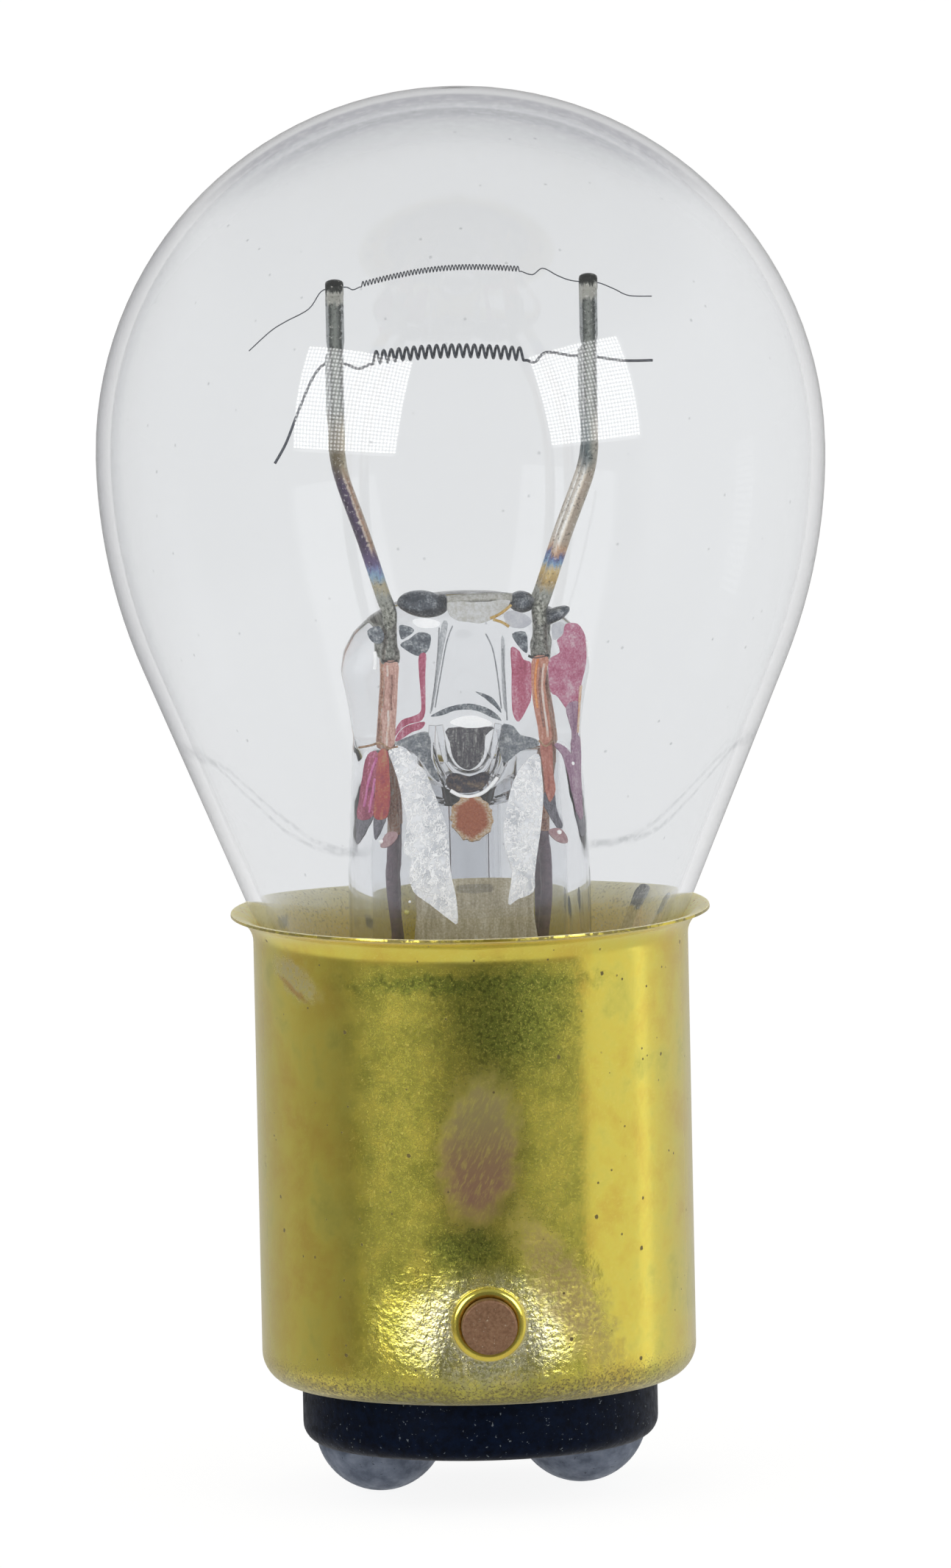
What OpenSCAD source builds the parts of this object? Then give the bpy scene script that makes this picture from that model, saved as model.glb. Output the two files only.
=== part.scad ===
/* [Glass envelope] */
// Diameter of the globe
globe_d = 25.4; // [23:0.1:28]
// Height of the globe's centre over the low pin
globe_z = 29.6; // [27.5:0.1:33]
// Radius of the long curve under the globe's equator
shoulder_r = 19.4; // [16:0.1:26]
// Thickness of the envelope's glass
glass_wall = 0.5; // [0.35:0.05:0.8]
// Gap between the straight neck and the shell, which the cement fills
neck_gap = 1.03; // [0.85:0.01:1.3]
// Height of the neck's sealed lower end
neck_end_z = 6; // [5:0.1:7]
// Gap between the glass and the shell where the rim starts to flare
throat_gap = 0.3; // [0.26:0.02:0.5]
// Gap between the glass and the edge of the lip
rim_gap = 0.6; // [0.5:0.02:0.9]

/* [Stem] */
// Outer diameter of the stem's round tube
stem_d = 8.44; // [8:0.02:9.2]
// Wall of the stem's round tube
stem_wall = 0.8; // [0.6:0.05:0.9]
// Height at which the round tube starts to flatten
stem_tube_top_z = 15; // [13:0.1:15.5]
// Height of the roof over the stem's hollow
roof_z = 19.35; // [19:0.05:20]
// Height of the press over that roof
press_h = 5.35; // [5:0.05:6]
// Height of the press's dome over its widest place
dome_h = 2.7; // [2.2:0.1:3.2]
// Glass outside the seals at each side of the press
press_edge = 1.74; // [1.3:0.02:2]
// Glass in front of and behind the seals
press_cover = 0.6; // [0.5:0.05:0.9]
// Height over which the stem opens out into its flange
flange_h = 3.2; // [2:0.1:5]
// Thickness of the flange that is sealed to the neck
flange_t = 0.6; // [0.4:0.05:0.9]

/* [Exhaust tube] */
// Outer diameter of the exhaust tube
exhaust_d = 2.3; // [2:0.05:2.5]
// Bore of the exhaust tube
exhaust_bore = 1.3; // [0.9:0.05:1.6]
// Height of the sealed tip
exhaust_tip_z = 3; // [1:0.1:5]
// Depth of the hole through the front of the press under the stem's roof
exhaust_hole_drop = 0.35; // [0:0.05:0.45]
// Diameter of that hole
exhaust_hole_d = 1.4; // [1:0.05:1.5]
// Diameter of the thick place round the hole
boss_d = 3.5; // [3:0.05:3.8]
// Length of tube held in the boss
exhaust_grip = 0.8; // [0.5:0.05:0.9]

/* [Lead wires] */
// Distance of the left seals from the axis
seal_left_x = 2.63; // [2.3:0.01:2.8]
// Distance of the right seals from the axis
seal_right_x = 2.58; // [2.3:0.01:2.8]
// Distance between the front seals and the rear ones
seal_depth = 1.7; // [1.4:0.05:1.8]
// Diameter of a copper-clad seal wire
seal_d = 0.45; // [0.35:0.01:0.5]
// Depth under the press's top at which posts and seal wires are welded
weld_drop = 2.4; // [2.1:0.05:2.9]
// Height of the lower weld, where the outer leads start
lower_weld_z = 16.3; // [14:0.1:17]
// Diameter of a post
post_d = 0.52; // [0.44:0.01:0.6]
// Diameter of the knot at a post's weld
knot_d = 0.7; // [0.66:0.01:0.8]
// Distance of the left posts from the axis
post_left_x = 4.3; // [3.6:0.05:5]
// Distance of the right posts from the axis
post_right_x = 4.5; // [3.6:0.05:5]
// How far under the press's top the posts leave the glass and lean out
lean_drop = 0.4; // [0.2:0.05:0.5]
// Height at which the posts turn upright
post_bend_z = 29.2; // [27.5:0.1:30]
// Height of the front posts
front_top_z = 35.8; // [34.5:0.1:37]
// Height of the rear posts
rear_top_z = 33.1; // [32.4:0.1:33.6]
// Length of the flattened stretch under a post's top
flat_h = 2.2; // [1.2:0.1:2.4]
// Width of the flattened stretch
flat_w = 0.63; // [0.54:0.01:0.75]
// Thickness of the flattened stretch
flat_t = 0.28; // [0.2:0.01:0.3]
// Length of the tongue folded over a filament's leg
tongue = 0.55; // [0.4:0.01:0.8]
// Diameter of an outer lead
lead_d = 0.4; // [0.3:0.01:0.42]

/* [Minor filament] */
// Turns of the minor coil
minor_turns = 46; // [30:1:50]
// Outer diameter of the minor coil
minor_coil_d = 0.22; // [0.18:0.01:0.3]
// Diameter of the minor coil's wire
minor_wire = 0.04; // [0.02:0.005:0.05]
// Free leg between the left post and the coil
minor_left_leg = 0.94; // [0.7:0.02:1.6]
// Free leg between the coil and the right post
minor_right_leg = 2.37; // [1.4:0.02:2.6]
// Reach of the loose tail outside the left post
minor_left_tail = 3; // [1.6:0.1:3.4]
// Reach of the loose tail outside the right post
minor_right_tail = 2.2; // [1.2:0.1:2.6]
// Height of the coil's left end over the post's fold
minor_lift = 0.12; // [0:0.02:0.3]
// Rise from the coil's left end to its right end
minor_rise = 0.4; // [0:0.05:0.6]
// Crown of the coil between its ends
minor_crown = 0.28; // [0:0.02:0.5]

/* [Major filament] */
// Turns of the major coil
major_turns = 20; // [14:1:24]
// Outer diameter of the major coil
major_coil_d = 0.54; // [0.4:0.02:0.7]
// Diameter of the major coil's wire
major_wire = 0.1; // [0.06:0.01:0.11]
// Free leg between the left post and the coil
major_left_leg = 1.34; // [1:0.02:1.8]
// Free leg between the coil and the right post
major_right_leg = 2.2; // [1.4:0.02:2.6]
// Reach of the loose tail outside the left post
major_left_tail = 2.15; // [1.4:0.05:2.6]
// Reach of the loose tail outside the right post
major_right_tail = 2.3; // [1.4:0.05:2.6]
// Height of the coil over the post's fold
major_lift = 0.1; // [0:0.02:0.3]
// Crown of the coil between its ends
major_crown = 0.18; // [0:0.02:0.4]

/* [Base shell] */
// Diameter of the shell
shell_d = 15.16; // [15:0.02:16]
// Thickness of the shell's brass
shell_wall = 0.25; // [0.2:0.01:0.35]
// Distance from the low pin down to the shell's bottom
shell_drop = 3; // [2.6:0.1:4]
// Outer radius of the shell's lower corner
corner_r = 1.15; // [0.9:0.05:1.3]
// Height at which the rim starts to flare
flare_z = 12.55; // [12.3:0.05:13]
// Radius of the flare
flare_r = 0.9; // [0.8:0.05:1.3]
// Turn of the flare
flare_turn = 80; // [60:1:85]
// Diameter of the collar drawn out round each pin
collar_d = 2.6; // [2.3:0.05:3]
// Height of the collar over the shell
collar_h = 0.3; // [0.2:0.02:0.4]

/* [Bayonet pins] */
// Diameter of a pin
pin_d = 1.94; // [1.8:0.02:2.1]
// Diameter of a pin's shank in the collar
shank_d = 1.6; // [1.3:0.05:1.7]
// Height of a pin's face over its collar
pin_proud = 0.52; // [0.4:0.02:0.8]
// Height of the high pin over the low one
pin_index = 3.2; // [2.8:0.1:4]
// Diameter of the rivet head inside the shell
rivet_d = 2.3; // [2:0.05:2.6]
// Thickness of the rivet head
rivet_t = 0.3; // [0.2:0.02:0.4]

/* [Insulator and contacts] */
// Diameter of the insulator below the shell
insulator_d = 12.4; // [12:0.05:12.6]
// Height of the insulator below the shell
insulator_drop = 2.1; // [1.6:0.1:2.6]
// Radius of the insulator's lower edge
insulator_edge_r = 0.7; // [0.4:0.05:0.8]
// Distance between the contacts' centres
contact_spacing = 7; // [6.4:0.1:7.4]
// Diameter of a solder dome
dome_d = 4.45; // [4.2:0.05:4.7]
// Height of the left solder dome
dome_left_h = 1.77; // [1.4:0.01:2]
// Height of the right solder dome
dome_right_h = 1.65; // [1.4:0.01:2]
// Diameter of an eyelet's flange
eyelet_flange_d = 3.4; // [3:0.05:3.6]
// Thickness of an eyelet's flange
eyelet_flange_t = 0.25; // [0.15:0.01:0.3]
// Outer diameter of an eyelet's tube
eyelet_d = 1.7; // [1.5:0.05:1.9]
// Bore of an eyelet's tube
eyelet_bore = 1.1; // [0.9:0.05:1.2]

/* [Cement and solder] */
// Height of the cement's lower edge over the neck's end
cement_lift = 0.6; // [0.4:0.05:1]
// Height of the ring of basing cement
cement_h = 2.6; // [2:0.1:2.8]
// Direction of the larger ground solder, from +X towards +Y
ground_turn = 30; // [24:1:60]
// Direction of the smaller ground solder
ground_small_turn = 10; // [6:1:16]
// Radius of the larger blob
ground_blob_r = 0.45; // [0.35:0.01:0.5]
// Radius of the smaller blob
ground_small_blob_r = 0.32; // [0.25:0.01:0.34]
// Diameter of the getter dab
dab_d = 1.2; // [0.8:0.05:1.6]
// Thickness of the getter dab
dab_t = 0.1; // [0.05:0.01:0.2]
// Height of the getter dab
dab_z = 17.2; // [16.8:0.1:17.4]

/* [Fits] */
// Play round wires, eyelets and tubes that are sealed in
seal_play = 0.02; // [0.01:0.005:0.03]
// Play of the insulator and the cement in the shell
shell_play = 0.02; // [0.01:0.005:0.05]
// Play of a filament's leg in the fold that clamps it
clamp_play = 0.02; // [0.01:0.005:0.04]
// Room between the low pin's rivet head and the insulator
rivet_play = 0.12; // [0.05:0.01:0.2]

/* [Hidden] */
fine = 96;
mid = 48;
small = 32;
// Allowance by which a cut runs past what it opens
cut = 1;
// Thickness of the slices that a hull joins
slice = 0.05;
// How far the press draws in at its waist, and how high the waist lies over the hollow's roof
waist_inset = 0.25;
waist_rise = 0.4;
// Glass in front of and behind the hollow, and room in it beside the leads
hollow_cover = 0.3;
// Glass between the exhaust hole and the tube's end
boss_floor = 0.2;
// Where the boss starts to taper, over the roof, where it ends, under the press's top, and its upper share
boss_rise = 0.6;
boss_drop = 1.4;
boss_taper = 0.78;
// Straight stub of a lead at its weld and in its solder
lead_stub = 0.3;
// Straight stretch of a contact's lead over its eyelet
eyelet_run = 1.4;
// How far below the flange the ground leads pass, and how far they rise over the cement
ground_drop = 1.1;
ground_rise = 0.9;
// Height of the sealed tip's inside over its outside's bend
tip_wall = 0.4;
// Width of an eyelet's clinched rim outside its tube
clinch_w = 0.4;
// Distance from the shell's inside out to a rim solder's centre, and how far it sinks in the gap at the lip
blob_out = 0.32;
blob_sink = 0.2;
// Weld knot and straight stretch of a post over its weld
knot_h = 0.5;
globe_r = globe_d / 2;
shell_r = shell_d / 2;
shell_in_r = shell_r - shell_wall;
neck_r = shell_in_r - neck_gap;
shell_bottom_z = -shell_drop;
lip_r = shell_r + flare_r - (flare_r + shell_wall) * cos(flare_turn);
lip_z = flare_z + (flare_r + shell_wall) * sin(flare_turn);
throat_r = shell_in_r - throat_gap;
cone_r = lip_r - rim_gap;
neck_top_z = flare_z - (throat_r - neck_r) * (lip_z - flare_z) / (cone_r - throat_r);
// Centre and sweep of the long curve, which runs from the equator tangent to the glass at the lip
shoulder_x = globe_r - shoulder_r;
to_lip = [cone_r - shoulder_x, lip_z - globe_z];
shoulder_sweep = -atan2(to_lip[1], to_lip[0]) - acos(shoulder_r / norm(to_lip));
stem_r = stem_d / 2;
stem_in_r = stem_r - stem_wall;
flange_z = neck_end_z - flange_t;
press_half_w = (seal_left_x + seal_right_x) / 2 + press_edge;
press_half_d = seal_depth / 2 + press_cover;
boss_r = boss_d / 2;
exhaust_hole_z = roof_z - exhaust_hole_drop;
boss_bottom_z = exhaust_hole_z - exhaust_hole_d / 2 - exhaust_grip - boss_floor;
waist_z = roof_z + waist_rise;
press_top_z = roof_z + press_h;
press_wide_z = press_top_z - dome_h;
weld_z = press_top_z - weld_drop;
post_lean_z = press_top_z - lean_drop;
insulator_z = shell_bottom_z - insulator_drop;
insulator_top_z = -rivet_d / 2 - rivet_play;
cement_z = neck_end_z + cement_lift;
ground_gap_r = (neck_r + shell_in_r) / 2;
ground_end_z = cement_z + cement_h + ground_rise;
front_y = -seal_depth / 2;
rear_y = seal_depth / 2;
eyelet_top_z = insulator_top_z + eyelet_flange_t;

function unit(v) = v / norm(v);
function arc(cx, cy, rx, ry, from, to, steps) =
    [for (i = [0:steps]) let (a = from + (to - from) * i / steps) [cx + rx * cos(a), cy + ry * sin(a)]];
function back(list) = [for (i = [len(list) - 1:-1:0]) list[i]];
function heading(p, i) = unit(p[min(i + 1, len(p) - 1)] - p[max(i - 1, 0)]);
function square_to(n, t) = unit(n - (n * t) * t);
// Directions square to a path, carried along it without twist
function carried(p, start) =
    [for (i = 0, n = square_to(start, heading(p, 0));
          i < len(p);
          i = i + 1, n = i < len(p) ? square_to(n, heading(p, i)) : n) n];
// Smooth curve through the points, with the given steps between neighbours
function smooth(p, steps) = [
    for (i = [0:len(p) - 2], k = [0:steps - 1])
        let (
            u = k / steps,
            a = p[max(i - 1, 0)],
            b = p[i],
            c = p[i + 1],
            d = p[min(i + 2, len(p) - 1)]
        )
        b + ((c - a) + ((2 * a - 5 * b + 4 * c - d) + (3 * b - a - 3 * c + d) * u) * u) * u / 2,
    p[len(p) - 1]
];
// Least gap between stretches of a wire that lie at least apart points from each other
function least_gap(p, apart, wire) =
    min([for (i = [0:len(p) - 1 - apart], j = [i + apart:len(p) - 1]) norm(p[i] - p[j])]) - wire;

// A wire along the points; half gives half its width and half its thickness at each point
module wire(p, half, sides, start = [1, 0, 0]) {
    n = carried(p, start);
    last = (len(p) - 1) * sides;
    rings = [
        for (i = [0:len(p) - 1])
            let (b = cross(heading(p, i), n[i]))
            for (k = [0:sides - 1])
                let (a = 360 * k / sides)
                p[i] + half[i][0] * cos(a) * n[i] + half[i][1] * sin(a) * b
    ];
    skin = [
        for (i = [0:len(p) - 2], k = [0:sides - 1])
            let (
                a = i * sides + k,
                b = i * sides + (k + 1) % sides
            )
            each [[a, a + sides, b + sides], [a, b + sides, b]]
    ];
    caps = [for (k = [1:sides - 2]) each [[0, k, k + 1], [last, last + k + 1, last + k]]];
    polyhedron(rings, concat(skin, caps), convexity = 10);
}

module round_wire(p, d, sides) {
    wire(p, [for (q = p) [d / 2, d / 2]], sides);
}

// Outline of the envelope, its glass let inwards by the given amount
function envelope_line(inset) =
    let (r = shoulder_r - inset)
    concat(
        [
            [neck_r - inset, neck_end_z],
            [neck_r - inset, neck_top_z],
            [cone_r - inset / cos(shoulder_sweep), lip_z]
        ],
        arc(shoulder_x, globe_z, r, r, -shoulder_sweep, 0, 6),
        [for (q = arc(0, globe_z, globe_r - inset, globe_r - inset, 5, 90, 17)) [max(q[0], 0), q[1]]]
    );

module envelope_solid() {
    rotate_extrude($fn = fine)
        polygon(concat([[0, neck_end_z]], envelope_line(0)));
}

module envelope() {
    color([0.86, 0.9, 0.92, 0.3])
        rotate_extrude($fn = fine)
            polygon(concat(envelope_line(0), back(envelope_line(glass_wall))));
}

module press_slice(half_w, half_d, z) {
    for (s = [-1, 1])
        translate([s * (half_w - half_d), 0, z])
            cylinder(r = half_d, h = slice, $fn = small);
}

// The flattened press, domed on top, and the stretch that widens down to the tube
module stem_body() {
    hull() {
        for (k = [-3:3])
            let (x = (press_half_w - press_half_d) * k / 3)
                translate([x, 0, press_wide_z])
                    scale([1, 1, dome_h * sqrt(1 - pow(x / press_half_w, 2)) / press_half_d])
                        sphere(r = press_half_d, $fn = small);
        press_slice(press_half_w - waist_inset, press_half_d, waist_z);
    }
    hull() {
        press_slice(press_half_w - waist_inset, press_half_d, waist_z);
        translate([0, 0, stem_tube_top_z])
            cylinder(r = stem_r, h = slice, $fn = fine);
    }
}

module stem_hollow() {
    hollow_half_w = press_half_w - press_edge + lead_d + hollow_cover;
    hull() {
        press_slice(hollow_half_w, press_half_d - hollow_cover, roof_z - slice);
        translate([0, 0, stem_tube_top_z - slice])
            cylinder(r = stem_in_r, h = slice, $fn = fine);
    }
}

// The round tube and the flange that opens out to the neck's end
module stem_tube() {
    reach = neck_r - glass_wall - slice;
    rotate_extrude($fn = fine)
        polygon(concat(
            [[stem_in_r, stem_tube_top_z], [stem_r, stem_tube_top_z]],
            arc(reach, neck_end_z + flange_h, reach - stem_r, flange_h, 180, 270, 8),
            [[neck_r, neck_end_z], [neck_r, flange_z]],
            back(arc(reach, neck_end_z + flange_h, reach - stem_in_r, flange_h + flange_t, 180, 270, 8))
        ));
}

function seal_x(side) = side < 0 ? -seal_left_x : seal_right_x;
function post_x(side) = side < 0 ? -post_left_x : post_right_x;

module at_seals() {
    for (side = [-1, 1], y = [front_y, rear_y])
        translate([seal_x(side), y, 0])
            children();
}

module stem() {
    taper_z = roof_z + boss_rise;
    taper_h = press_top_z - boss_drop - taper_z;
    color([0.84, 0.88, 0.9, 0.45])
        difference() {
            union() {
                difference() {
                    stem_body();
                    stem_hollow();
                }
                stem_tube();
                translate([0, 0, boss_bottom_z])
                    cylinder(r = boss_r, h = taper_z - boss_bottom_z, $fn = mid);
                translate([0, 0, taper_z])
                    cylinder(r1 = boss_r, r2 = boss_r * boss_taper, h = taper_h, $fn = mid);
            }
            translate([0, 0, boss_bottom_z - cut])
                cylinder(r = exhaust_d / 2 + seal_play, h = exhaust_grip + cut, $fn = mid);
            translate([0, 0, boss_bottom_z])
                cylinder(r = exhaust_bore / 2, h = exhaust_hole_z - boss_bottom_z, $fn = mid);
            translate([0, 0, exhaust_hole_z])
                rotate([90, 0, 0])
                    cylinder(r = exhaust_hole_d / 2, h = stem_r, $fn = mid);
            at_seals()
                translate([0, 0, roof_z - cut])
                    cylinder(r = seal_d / 2 + seal_play, h = weld_z - roof_z + 2 * cut, $fn = small);
            at_seals()
                translate([0, 0, weld_z - seal_play])
                    cylinder(r = knot_d / 2 + seal_play, h = press_top_z - weld_z + cut, $fn = small);
        }
}

module exhaust_tube() {
    r = exhaust_d / 2;
    bore_r = exhaust_bore / 2;
    top = boss_bottom_z + exhaust_grip;
    bend_z = exhaust_tip_z + r + tip_wall;
    color([0.84, 0.88, 0.9, 0.45])
        rotate_extrude($fn = mid)
            polygon(concat(
                [[0, exhaust_tip_z]],
                arc(0, exhaust_tip_z + r, r, r, -80, 0, 8),
                [[r, top], [bore_r, top]],
                arc(0, bend_z, bore_r, bore_r * 1.4, 0, -80, 6),
                [[0, bend_z - bore_r * 1.4]]
            ));
}

module getter_dab() {
    color("sienna")
        difference() {
            intersection() {
                translate([0, -dab_t, 0])
                    stem_body();
                translate([0, 0, dab_z])
                    rotate([90, 0, 0])
                        cylinder(d = dab_d, h = stem_r + cut, $fn = small);
            }
            stem_body();
        }
}

// Radius at which a post's top folds over a filament's wire
function fold_r(wire) = (flat_t + wire) / 2 + clamp_play;
// Path of a post from its weld to the end of the tongue folded over the filament's leg
function post_path(side, y, top, wire) =
    let (
        fold = fold_r(wire),
        in_x = seal_x(side),
        out_x = post_x(side),
        lean = post_bend_z - post_lean_z,
        bend = smooth([
            for (q = [[0, -0.14], [0, -0.04], [0.12, 0.08], [0.5, 0.5], [0.9, 0.9], [1, 1.1]])
                [in_x + (out_x - in_x) * q[0], y, post_lean_z + lean * q[1]]
        ], 2),
        crest = top - flat_t / 2 - fold,
        turn = [for (a = [0:30:180]) [out_x, y - fold + fold * cos(a), crest + fold * sin(a)]]
    )
    concat(
        [for (h = [0, 1, 1.6]) [in_x, y, weld_z + h * knot_h]],
        bend,
        [[out_x, y, top - 1.2 * flat_h], [out_x, y, top - flat_h]],
        turn,
        [[out_x, y - 2 * fold, top - tongue]]
    );

module post(side, y, top, wire) {
    p = post_path(side, y, top, wire);
    knot = [knot_d / 2, knot_d / 2];
    bar = [post_d / 2, post_d / 2];
    flat = [flat_w / 2, flat_t / 2];
    half = [for (i = [0:len(p) - 1]) i < 2 ? knot : (p[i][2] < top - flat_h - 0.01 ? bar : flat)];
    color([0.5, 0.49, 0.47])
        wire(p, half, 12);
}

module seal(side, y) {
    color([0.8, 0.45, 0.33])
        translate([seal_x(side), y, lower_weld_z])
            cylinder(d = seal_d, h = weld_z - lower_weld_z, $fn = small);
}

// A lead's height at a share of the way from its weld down to the neck's end
function down(share) = lower_weld_z + (neck_end_z - lower_weld_z) * share;

// A contact's lead: from its weld down the tube, out to the eyelet and into the solder
module lead_contact(side) {
    x = seal_x(side);
    out = side * contact_spacing / 2;
    weld = [x, front_y, lower_weld_z];
    p = concat([weld], smooth([
        weld - [0, 0, lead_stub],
        [x, front_y, down(0.19)],
        [x * 0.92, front_y * 0.8, down(0.49)],
        [x, front_y * 0.6, neck_end_z],
        [out * 1.02, front_y * 0.3, insulator_top_z + 2.4 * eyelet_run],
        [out, 0, insulator_top_z + eyelet_run],
        [out, 0, insulator_top_z - 0.4 * eyelet_run],
        [out, 0, insulator_z - eyelet_flange_t - lead_stub]
    ], 3));
    color([0.45, 0.36, 0.33])
        round_wire(p, lead_d, 8);
}

function around(r, a, z) = [r * cos(a), r * sin(a), z];

// A ground lead: down the tube, out under the flange and up through the cement to its solder
module lead_ground(side, turn) {
    x = seal_x(side);
    under_z = flange_z - ground_drop;
    swing = side < 0 ? turn + 35 : turn;
    weld = [x, rear_y, lower_weld_z];
    p = concat([weld], smooth([
        weld - [0, 0, lead_stub],
        [x, rear_y, down(0.19)],
        [x, rear_y * 1.2, down(0.53)],
        [x, rear_y * 1.4, down(0.9)],
        [x * 0.9, rear_y * (side < 0 ? 3.4 : 1.7), under_z + 0.2 * ground_drop],
        around(stem_r + 0.55 * ground_drop, swing, under_z - 0.36 * ground_drop),
        around(ground_gap_r - neck_gap / 4, (swing + 2 * turn) / 3, under_z),
        around(ground_gap_r, turn, under_z + 0.8 * ground_drop),
        around(ground_gap_r, turn, cement_z),
        around(ground_gap_r, turn, cement_z + cement_h),
        around(ground_gap_r, turn, ground_end_z)
    ], 3));
    color([0.45, 0.36, 0.33])
        round_wire(p, lead_d, 8);
}

// Points of a coil between two ends, eight to a turn
function coil(a, b, crown, r, turns) =
    [for (i = [0:turns * 8])
        let (
            u = i / (turns * 8),
            w = 45 * i
        )
        a + (b - a) * u + [0, r * sin(w), crown * sin(180 * u) - r * cos(w)]];

// Points out from a post's fold, as shares of a length: outwards by the first, up by the second
function beside(side, fold, length, shares) =
    [for (q = shares) fold + [side * q[0] * length, 0, q[1] * length]];

minor_r = (minor_coil_d - minor_wire) / 2;
minor_y = front_y - fold_r(minor_wire);
minor_fold_z = front_top_z - flat_t / 2 - fold_r(minor_wire);
minor_left = [-post_left_x, minor_y, minor_fold_z];
minor_right = [post_right_x, minor_y, minor_fold_z];
minor_a = minor_left + [minor_left_leg, 0, minor_lift];
minor_b = minor_right + [-minor_right_leg, 0, minor_lift + minor_rise];
minor_points = concat(
    smooth(concat(
        beside(-1, minor_left, minor_left_tail,
               [[1, -0.7], [0.75, -0.48], [0.57, -0.37], [0.3, -0.23], [0.15, -0.03], [0, 0]]),
        beside(-1, minor_left, minor_left_leg, [[-0.43, 0.04]]),
        [minor_a - [0.32 * minor_left_leg, 0, 2 * minor_r], minor_a - [0.06 * minor_left_leg, 0, minor_r]]
    ), 2),
    coil(minor_a, minor_b, minor_crown, minor_r, minor_turns),
    smooth(concat(
        [minor_b + [0.03 * minor_right_leg, 0, -minor_r]],
        beside(1, minor_b, minor_right_leg, [[0.19, -0.09], [0.34, 0], [0.55, -0.11]]),
        beside(-1, minor_right, minor_right_leg, [[0.25, 0.03]]),
        beside(1, minor_right, minor_right_tail,
               [[0, 0], [0.18, -0.02], [0.41, -0.12], [0.64, -0.23], [1, -0.25]])
    ), 2)
);

major_r = (major_coil_d - major_wire) / 2;
major_y = rear_y - fold_r(major_wire);
major_fold_z = rear_top_z - flat_t / 2 - fold_r(major_wire);
major_left = [-post_left_x, major_y, major_fold_z];
major_right = [post_right_x, major_y, major_fold_z];
major_a = major_left + [major_left_leg, 0, major_lift];
major_b = major_right + [-major_right_leg, 0, major_lift];
major_points = concat(
    smooth(concat(
        beside(-1, major_left, major_left_tail,
               [[1, -1.63], [0.81, -1.3], [0.6, -0.79], [0.37, -0.28], [0.19, -0.05], [0, 0]]),
        beside(-1, major_left, major_left_leg, [[-0.3, -0.07], [-0.63, -0.19]]),
        [major_a - [0.09 * major_left_leg, 0, major_r]]
    ), 2),
    coil(major_a, major_b, major_crown, major_r, major_turns),
    smooth(concat(
        [major_b + [0.055 * major_right_leg, 0, -major_r]],
        beside(1, major_b, major_right_leg, [[0.18, -0.13], [0.36, 0.02]]),
        beside(-1, major_right, major_right_leg, [[0.23, 0]]),
        beside(1, major_right, major_right_tail, [[0, 0], [0.52, -0.09], [1, -0.1]])
    ), 2)
);
echo(minor_gap = least_gap(minor_points, 6, minor_wire));
echo(major_gap = least_gap(major_points, 6, major_wire));

module minor_filament() {
    color([0.35, 0.36, 0.38])
        round_wire(minor_points, minor_wire, 6);
}

module major_filament() {
    color([0.35, 0.36, 0.38])
        round_wire(major_points, major_wire, 6);
}

// Section of the shell from its turned-in bottom to the lip
module shell_ring() {
    corner_x = shell_r - corner_r;
    corner_z = shell_bottom_z + corner_r;
    in_r = corner_r - shell_wall;
    open_r = insulator_d / 2 + shell_play;
    flare_x = shell_r + flare_r;
    rotate_extrude($fn = fine)
        polygon(concat(
            [[open_r, shell_bottom_z]],
            arc(corner_x, corner_z, corner_r, corner_r, -90, 0, 8),
            arc(flare_x, flare_z, flare_r, flare_r, 180, 180 - flare_turn, 8),
            arc(flare_x, flare_z, flare_r + shell_wall, flare_r + shell_wall, 180 - flare_turn, 180, 8),
            arc(corner_x, corner_z, in_r, in_r, 0, -90, 8),
            [[open_r, shell_bottom_z + shell_wall]]
        ));
}

// Places its children at the low pin and at the high one, with +Z pointing outwards
module at_low_pin() {
    rotate([90, 0, 0])
        children();
}

module at_high_pin() {
    translate([0, 0, pin_index])
        rotate([-90, 0, 0])
            children();
}

module collar() {
    cylinder(d = collar_d, h = shell_r + collar_h, $fn = mid);
}

module pin_hole() {
    cylinder(r = shank_d / 2 + seal_play, h = shell_r + collar_h + cut, $fn = mid);
}

module base_shell() {
    color([0.72, 0.6, 0.16])
        difference() {
            union() {
                shell_ring();
                difference() {
                    union() {
                        at_low_pin() collar();
                        at_high_pin() collar();
                    }
                    translate([0, 0, shell_bottom_z])
                        cylinder(r = shell_in_r + shell_wall / 2, h = flare_z - shell_bottom_z, $fn = fine);
                }
            }
            at_low_pin() pin_hole();
            at_high_pin() pin_hole();
        }
}

module pin() {
    seat = shell_r + collar_h;
    inside = sqrt(shell_in_r * shell_in_r - rivet_d * rivet_d / 4) - seal_play;
    color([0.6, 0.38, 0.22]) {
        translate([0, 0, inside - rivet_t])
            cylinder(d = rivet_d, h = rivet_t, $fn = mid);
        translate([0, 0, inside])
            cylinder(d = shank_d, h = seat - inside, $fn = mid);
        translate([0, 0, seat])
            cylinder(d = pin_d, h = pin_proud, $fn = mid);
    }
}

module pin_low() {
    at_low_pin() pin();
}

module pin_high() {
    at_high_pin() pin();
}

module at_contact(side) {
    translate([side * contact_spacing / 2, 0, 0])
        children();
}

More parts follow.
